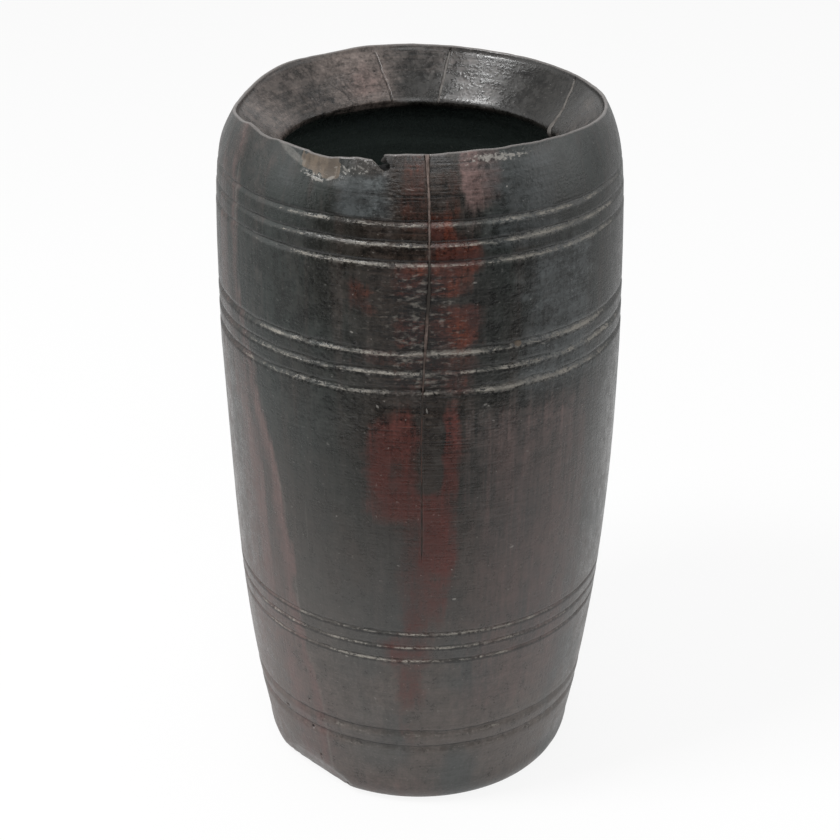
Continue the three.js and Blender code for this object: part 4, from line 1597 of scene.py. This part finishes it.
    def add_inside(self, b: Board, colour: Socket, mottle: Socket) -> Socket:
        """Dull brownish funnel with its paler wood, and the sooty hollow below the lip."""
        inside, patch = b.field("inside"), b.field("sapwood")
        drawn = b.noise((34, 34, 9), 3, 15.1)
        scored = b.noise((30, 30, 900), 4, 21.4, rough=0.6)
        patch = patch + drawn.swing(1.3) + scored.swing(0.9) + mottle.swing(0.5)
        funnel = b.blend(patch.rise(0.05, 1.15), self.funnel_dark, self.funnel_pale)
        red = (b.field("heartwood") + mottle.swing(0.5)).rise(0.15, 0.7) * 0.5
        funnel = b.blend(red, funnel, self.funnel_red)
        tears = abs(b.noise((75, 75, 110), 3, 33.0, bend=1.2) - 0.5).rise(0.07, 0.0)
        funnel = b.shade(funnel, 1 - tears * b.field("torn") * 0.8)
        colour = b.blend((inside * 4).within(), colour, funnel)
        turned = b.noise((12, 12, 210), 3, 27.0)
        return b.blend(inside.rise(0.36, 0.6), colour, b.shade(self.soot, 0.55 + turned * 0.9))

    def scuffs(self, b: Board, mottle: Socket, nibble: Socket,
               grit: Socket) -> tuple[Socket, Socket]:
        """Pale rubbed lower edges of the grooves, and the shade along their upper sides."""
        wear, gap = b.field("scuff"), b.field("pale_gap")
        wander = nibble.swing(1.5) + mottle.swing(0.9) + grit.swing(0.5)
        swell = b.noise((95, 95, 60), 3, 8.1).swing(0.9)
        edge = (gap + wander - swell).rise(0.56, 0.18)
        broken = b.noise((120, 120, 420), 4, 4.4) * 1.5 + wear * 0.60 + nibble.swing(1.9)
        rubbed = (gap + wander * 1.5).rise(1.9, 0.7) * (nibble + wear * 0.2).rise(0.62, 0.86)
        rubbed = rubbed * wear * 0.45
        dark = (b.field("dark_gap") + wander * 0.4).rise(0.9, 0.3)
        return (edge * broken.rise(0.95, 1.35)).most(rubbed), dark

    def add_pits(self, b: Board, colour: Socket, nibble: Socket) -> Socket:
        """Weathered wood: dark pits and cross cracks, with pale grains between them."""
        pitted = b.field("pitted")
        cracks = b.noise((110, 110, 420), 5, 17.0, rough=0.7)
        dark = (pitted * (cracks + nibble * 0.6)).rise(0.66, 0.84) * 0.85
        grains = pitted * 0.42 + b.noise((260, 260, 560), 5, 19.0).swing(1.4)
        grains = grains.rise(0.40, 0.70) * 0.34
        return b.blend(grains, b.shade(colour, 1 - dark), self.dust)

    def grazes(self, b: Board, nibble: Socket, grit: Socket) -> Socket:
        """Flaked places, the pale line down the left, and the separate scratches and specks."""
        flakes = (b.field("graze") * 0.8 + nibble.swing(2.6) + grit.swing(1.2)).rise(0.5, 1.0)
        line = b.field("line").rise(1.3, 0.1) * b.noise((60, 60, 30), 3, 8.8).rise(0.42, 0.6) * 0.22
        marks = flakes.most(line)
        spot, sizes = b.spot(), Log()
        ragged = nibble.swing(4.5) + grit.swing(2.0)
        for scratch in SCRATCHES:
            away = b.streak(spot, *scratch.ends(sizes)) + ragged * scratch.half_width
            drawn = away.rise(scratch.half_width * 1.2, scratch.half_width * 0.2)
            marks = marks.most(drawn * scratch.strength)
        length, width = b.field("speck_length"), b.field("speck_width")
        speck = (length * length + width * width + ragged * 0.5).rise(1.3, 0.4)
        return marks.most(speck * b.field("speck_strength"))

    def pits(self, b: Board, nibble: Socket) -> Socket:
        """Relief of the weathered wood: pits, cross cracks and ridges."""
        pits = b.cells((330, 330, 520), 5.5).rise(0.1, 0.5)
        waves = b.noise((110, 110, 420), 5, 17.0, rough=0.7)
        return b.field("pitted") * (pits * 2.0 + waves * 6.0 + nibble * 2.0)


@dataclass(frozen=True)
class CrackGum:
    """Hardened plant gum, dull and pale by the rim, stained by the wood further down."""

    name: str = "dried_gum"
    pale: Colour = (0.135, 0.100, 0.087)
    brown: Colour = (0.060, 0.041, 0.033)
    stained: Colour = (0.050, 0.022, 0.015)
    black: Colour = (0.020, 0.017, 0.014)

    def make(self) -> bpy.types.Material:
        """Builds the material."""
        material = bpy.data.materials.new(self.name)
        b = Board(material)
        blotch = b.noise((330, 330, 210), 4, 2.2)
        grit = b.noise((1100, 1100, 1100), 3, 4.1)
        dirt = b.noise((130, 130, 75), 4, 7.9)
        high = b.height().rise(0.284, 0.312)
        colour = b.blend((blotch + high * 0.16).rise(0.5, 0.72), self.brown, self.pale)
        colour = b.blend((dirt - high * 0.1).rise(0.42, 0.58) * 0.85, colour, self.black)
        low = b.height().rise(0.246, 0.226)
        colour = b.blend(low * dirt.rise(0.62, 0.5) * 0.8, colour, self.stained)
        colour = b.shade(colour, 0.7 + grit * 0.6)
        bump = b.node("ShaderNodeBump", {}, {
            "Strength": 0.5, "Distance": 0.4 * MM, "Height": blotch * 0.9 + grit * 0.4}, "Normal")
        skin = b.node("ShaderNodeBsdfPrincipled", {}, {
            "Base Color": colour, "Roughness": 0.42 + blotch * 0.25, "Normal": bump,
            "Specular IOR Level": 0.4})
        b.node("ShaderNodeOutputMaterial", {}, {"Surface": skin})
        return material


@dataclass(frozen=True)
class Softbox:
    """A square lamp that faces the jug.

    Attributes:
        name: Its name.
        place: Where it hangs, in metres.
        size: Its edge in metres.
        brightness: How bright its face is, where white paper in this light is about 1.
    """

    name: str
    place: tuple[float, float, float]
    size: float
    brightness: float

    @property
    def power(self) -> float:
        """Power in watts that gives the face its brightness."""
        return math.pi * self.size**2 * self.brightness


@dataclass
class Studio:
    """A pale floor, soft light and the camera at the photograph's viewing angle.

    Attributes:
        floor_radius: Radius of the floor in metres.
        floor_corners: Number of its corners.
        paper: Colour of the floor.
        soft_light: Strength of the world's plain light.
        aim_height: Height in metres that the lamps face.
        lens: Focal length in mm.
        sensor: Width of the camera's sensor in mm.
        camera_at: Where the camera stands, in metres.
        camera_pitch: How far it looks down, in radians.
        camera_roll: How far it leans, in radians.
        lamps: The lamps.
    """

    floor_radius: float = 9.0
    floor_corners: int = 64
    paper: Colour = (0.8, 0.8, 0.8)
    soft_light: float = 0.45
    aim_height: float = 0.18
    sensor: float = 36.0
    lens: float = 80.996
    camera_at: tuple[float, float, float] = (0.0004, -0.82975, 0.59349)
    camera_pitch: float = 0.4671
    camera_roll: float = 0.0033
    lamps: tuple[Softbox, ...] = (
        Softbox("left_softbox", (-2.3, -0.45, 0.75), 1.8, 0.85),
        Softbox("right_softbox", (2.3, -0.3, 0.75), 1.8, 0.95),
        Softbox("front_softbox", (0.3, -1.9, 2.0), 1.0, 3.8),
        Softbox("top_softbox", (0.1, 0.5, 2.2), 1.3, 1.6),
        Softbox("mouth_softbox", (-0.82, -0.41, 1.59), 0.42, 38.0))

    def light_world(self) -> None:
        """White to the camera and to reflections, and plain soft light otherwise.

        Reflections find it dark in front, where the photographer stands.
        """
        world = bpy.data.worlds.new("studio")
        bpy.context.scene.world = world
        b = Board(world)
        light = b.node("ShaderNodeBackground", {}, {
            "Color": (1, 1, 1), "Strength": self.soft_light})
        camera = b.ray("Is Camera Ray")
        way = b.node("ShaderNodeTexCoord", {}, {}, "Generated")
        up = way.dot((0.0, 0.0, 1.0))
        grey = way.dot((0.05, -1.0, 0.0)).rise(0.12, 0.52) * up.rise(0.30, 0.08) * 0.94
        grey = grey.most(up.rise(0.35, 0.7) * 0.45).most(up.rise(0.22, 0.02) * 0.4)
        white = b.node("ShaderNodeBackground", {}, {
            "Color": (1, 1, 1), "Strength": camera.most(1 - grey)})
        both = b.node("ShaderNodeMixShader", {}, {0: self.seen(b), 1: light, 2: white})
        b.node("ShaderNodeOutputWorld", {}, {"Surface": both})

    def seen(self, b: Board) -> Socket:
        """1 for rays from the camera, from reflections and through glass."""
        seen = b.ray("Is Camera Ray").most(b.ray("Is Glossy Ray"))
        return seen.most(b.ray("Is Transmission Ray"))

    def lay_floor(self) -> None:
        """A round white floor that keeps the jug's soft shadow.

        Its colour greys in front, beyond the paper, where only reflections reach it.
        """
        turn = np.linspace(0, 2 * math.pi, self.floor_corners + 1)[:-1]
        points = np.stack([np.cos(turn), np.sin(turn), 0 * turn], 1) * self.floor_radius / MM
        floor = make_piece("floor", points, [np.arange(self.floor_corners)[None, :]])
        material = bpy.data.materials.new("white_paper")
        b = Board(material)
        camera = b.ray("Is Camera Ray")
        mirrored = b.ray("Is Glossy Ray")
        forward = b.spot().dot((0.0, -1.0, 0.0))
        aside = abs(b.spot().dot((1.0, 0.0, 0.0)) + 0.06) / forward.most(0.05)
        grey = forward.rise(0.20, 0.45) * aside.rise(3.0, 1.4)
        paper = b.node("ShaderNodeBsdfDiffuse", {}, {"Color": self.paper})
        away = b.spot().length()
        shaded = (away.rise(0.17, 0.07) * 0.2).most(away.rise(0.36, 0.75) * 0.5)
        white = b.node("ShaderNodeEmission", {}, {
            "Color": (1, 1, 1),
            "Strength": camera.most(mirrored * (0.95 - grey.most(shaded) * 0.88))})
        share = (camera * 0.88).most(mirrored * 0.95)
        both = b.node("ShaderNodeMixShader", {}, {0: share, 1: paper, 2: white})
        b.node("ShaderNodeOutputMaterial", {}, {"Surface": both})
        floor.data.materials.append(material)

    def hang_lamps(self) -> None:
        """Soft square lamps that face the middle of the jug."""
        for box in self.lamps:
            lamp = bpy.data.lights.new(box.name, "AREA")
            lamp.shape, lamp.size, lamp.energy = "SQUARE", box.size, box.power
            holder = bpy.data.objects.new(box.name, lamp)
            holder.location = box.place
            aim = Vector((0, 0, self.aim_height)) - Vector(box.place)
            holder.rotation_euler = aim.to_track_quat("-Z", "Y").to_euler()
            bpy.context.collection.objects.link(holder)

    def set_camera(self) -> None:
        """The camera at the photograph's viewing angle."""
        data = bpy.data.cameras.new("camera")
        data.lens, data.sensor_width = self.lens, self.sensor
        data.clip_start, data.clip_end = 0.05, 50.0
        camera = bpy.data.objects.new("camera", data)
        tilt = Matrix.Rotation(math.pi / 2 - self.camera_pitch, 4, "X")
        roll = Matrix.Rotation(self.camera_roll, 4, "Z")
        camera.matrix_world = Matrix.Translation(self.camera_at) @ tilt @ roll
        bpy.context.collection.objects.link(camera)
        bpy.context.scene.camera = camera

    def build(self) -> None:
        """Sets the whole studio up."""
        self.set_camera()
        self.light_world()
        self.lay_floor()
        self.hang_lamps()
        bpy.context.scene.view_settings.view_transform = "Standard"


def dress(piece: bpy.types.Object, material: bpy.types.Material, node: str) -> None:
    """Gives a piece its material and its place in the frame.

    Args:
        piece: The finished piece.
        material: Its material.
        node: The CAD node that it stands for.
    """
    piece.data.materials.clear()
    piece.data.materials.append(material)
    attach(piece, "root")
    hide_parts(node)
    log.info("%s: %d faces, stands for %s", piece.name, len(piece.data.polygons), node)


def main() -> None:
    """Builds the studio, the jug and its three seals."""
    logging.basicConfig(level=logging.INFO, format="%(name)s: %(message)s")
    Studio().build()
    wood, gum = SmokedWood().make(), CrackGum().make()
    dull_gum = CrackGum("dull_gum", pale=(0.098, 0.090, 0.082), brown=(0.048, 0.041, 0.036)).make()
    body = TurnedBody()
    jug = body.build()
    SurfaceMarks(body=body).write(jug)
    dress(jug, wood, "jug_body")
    for seal in (FRONT_SEAL, RIGHT_SEAL, BACK_SEAL):
        finish = gum if seal.crack.side is Side.WALL else dull_gum
        dress(seal.build(), finish, seal.node)


if __name__ == "__main__":
    main()
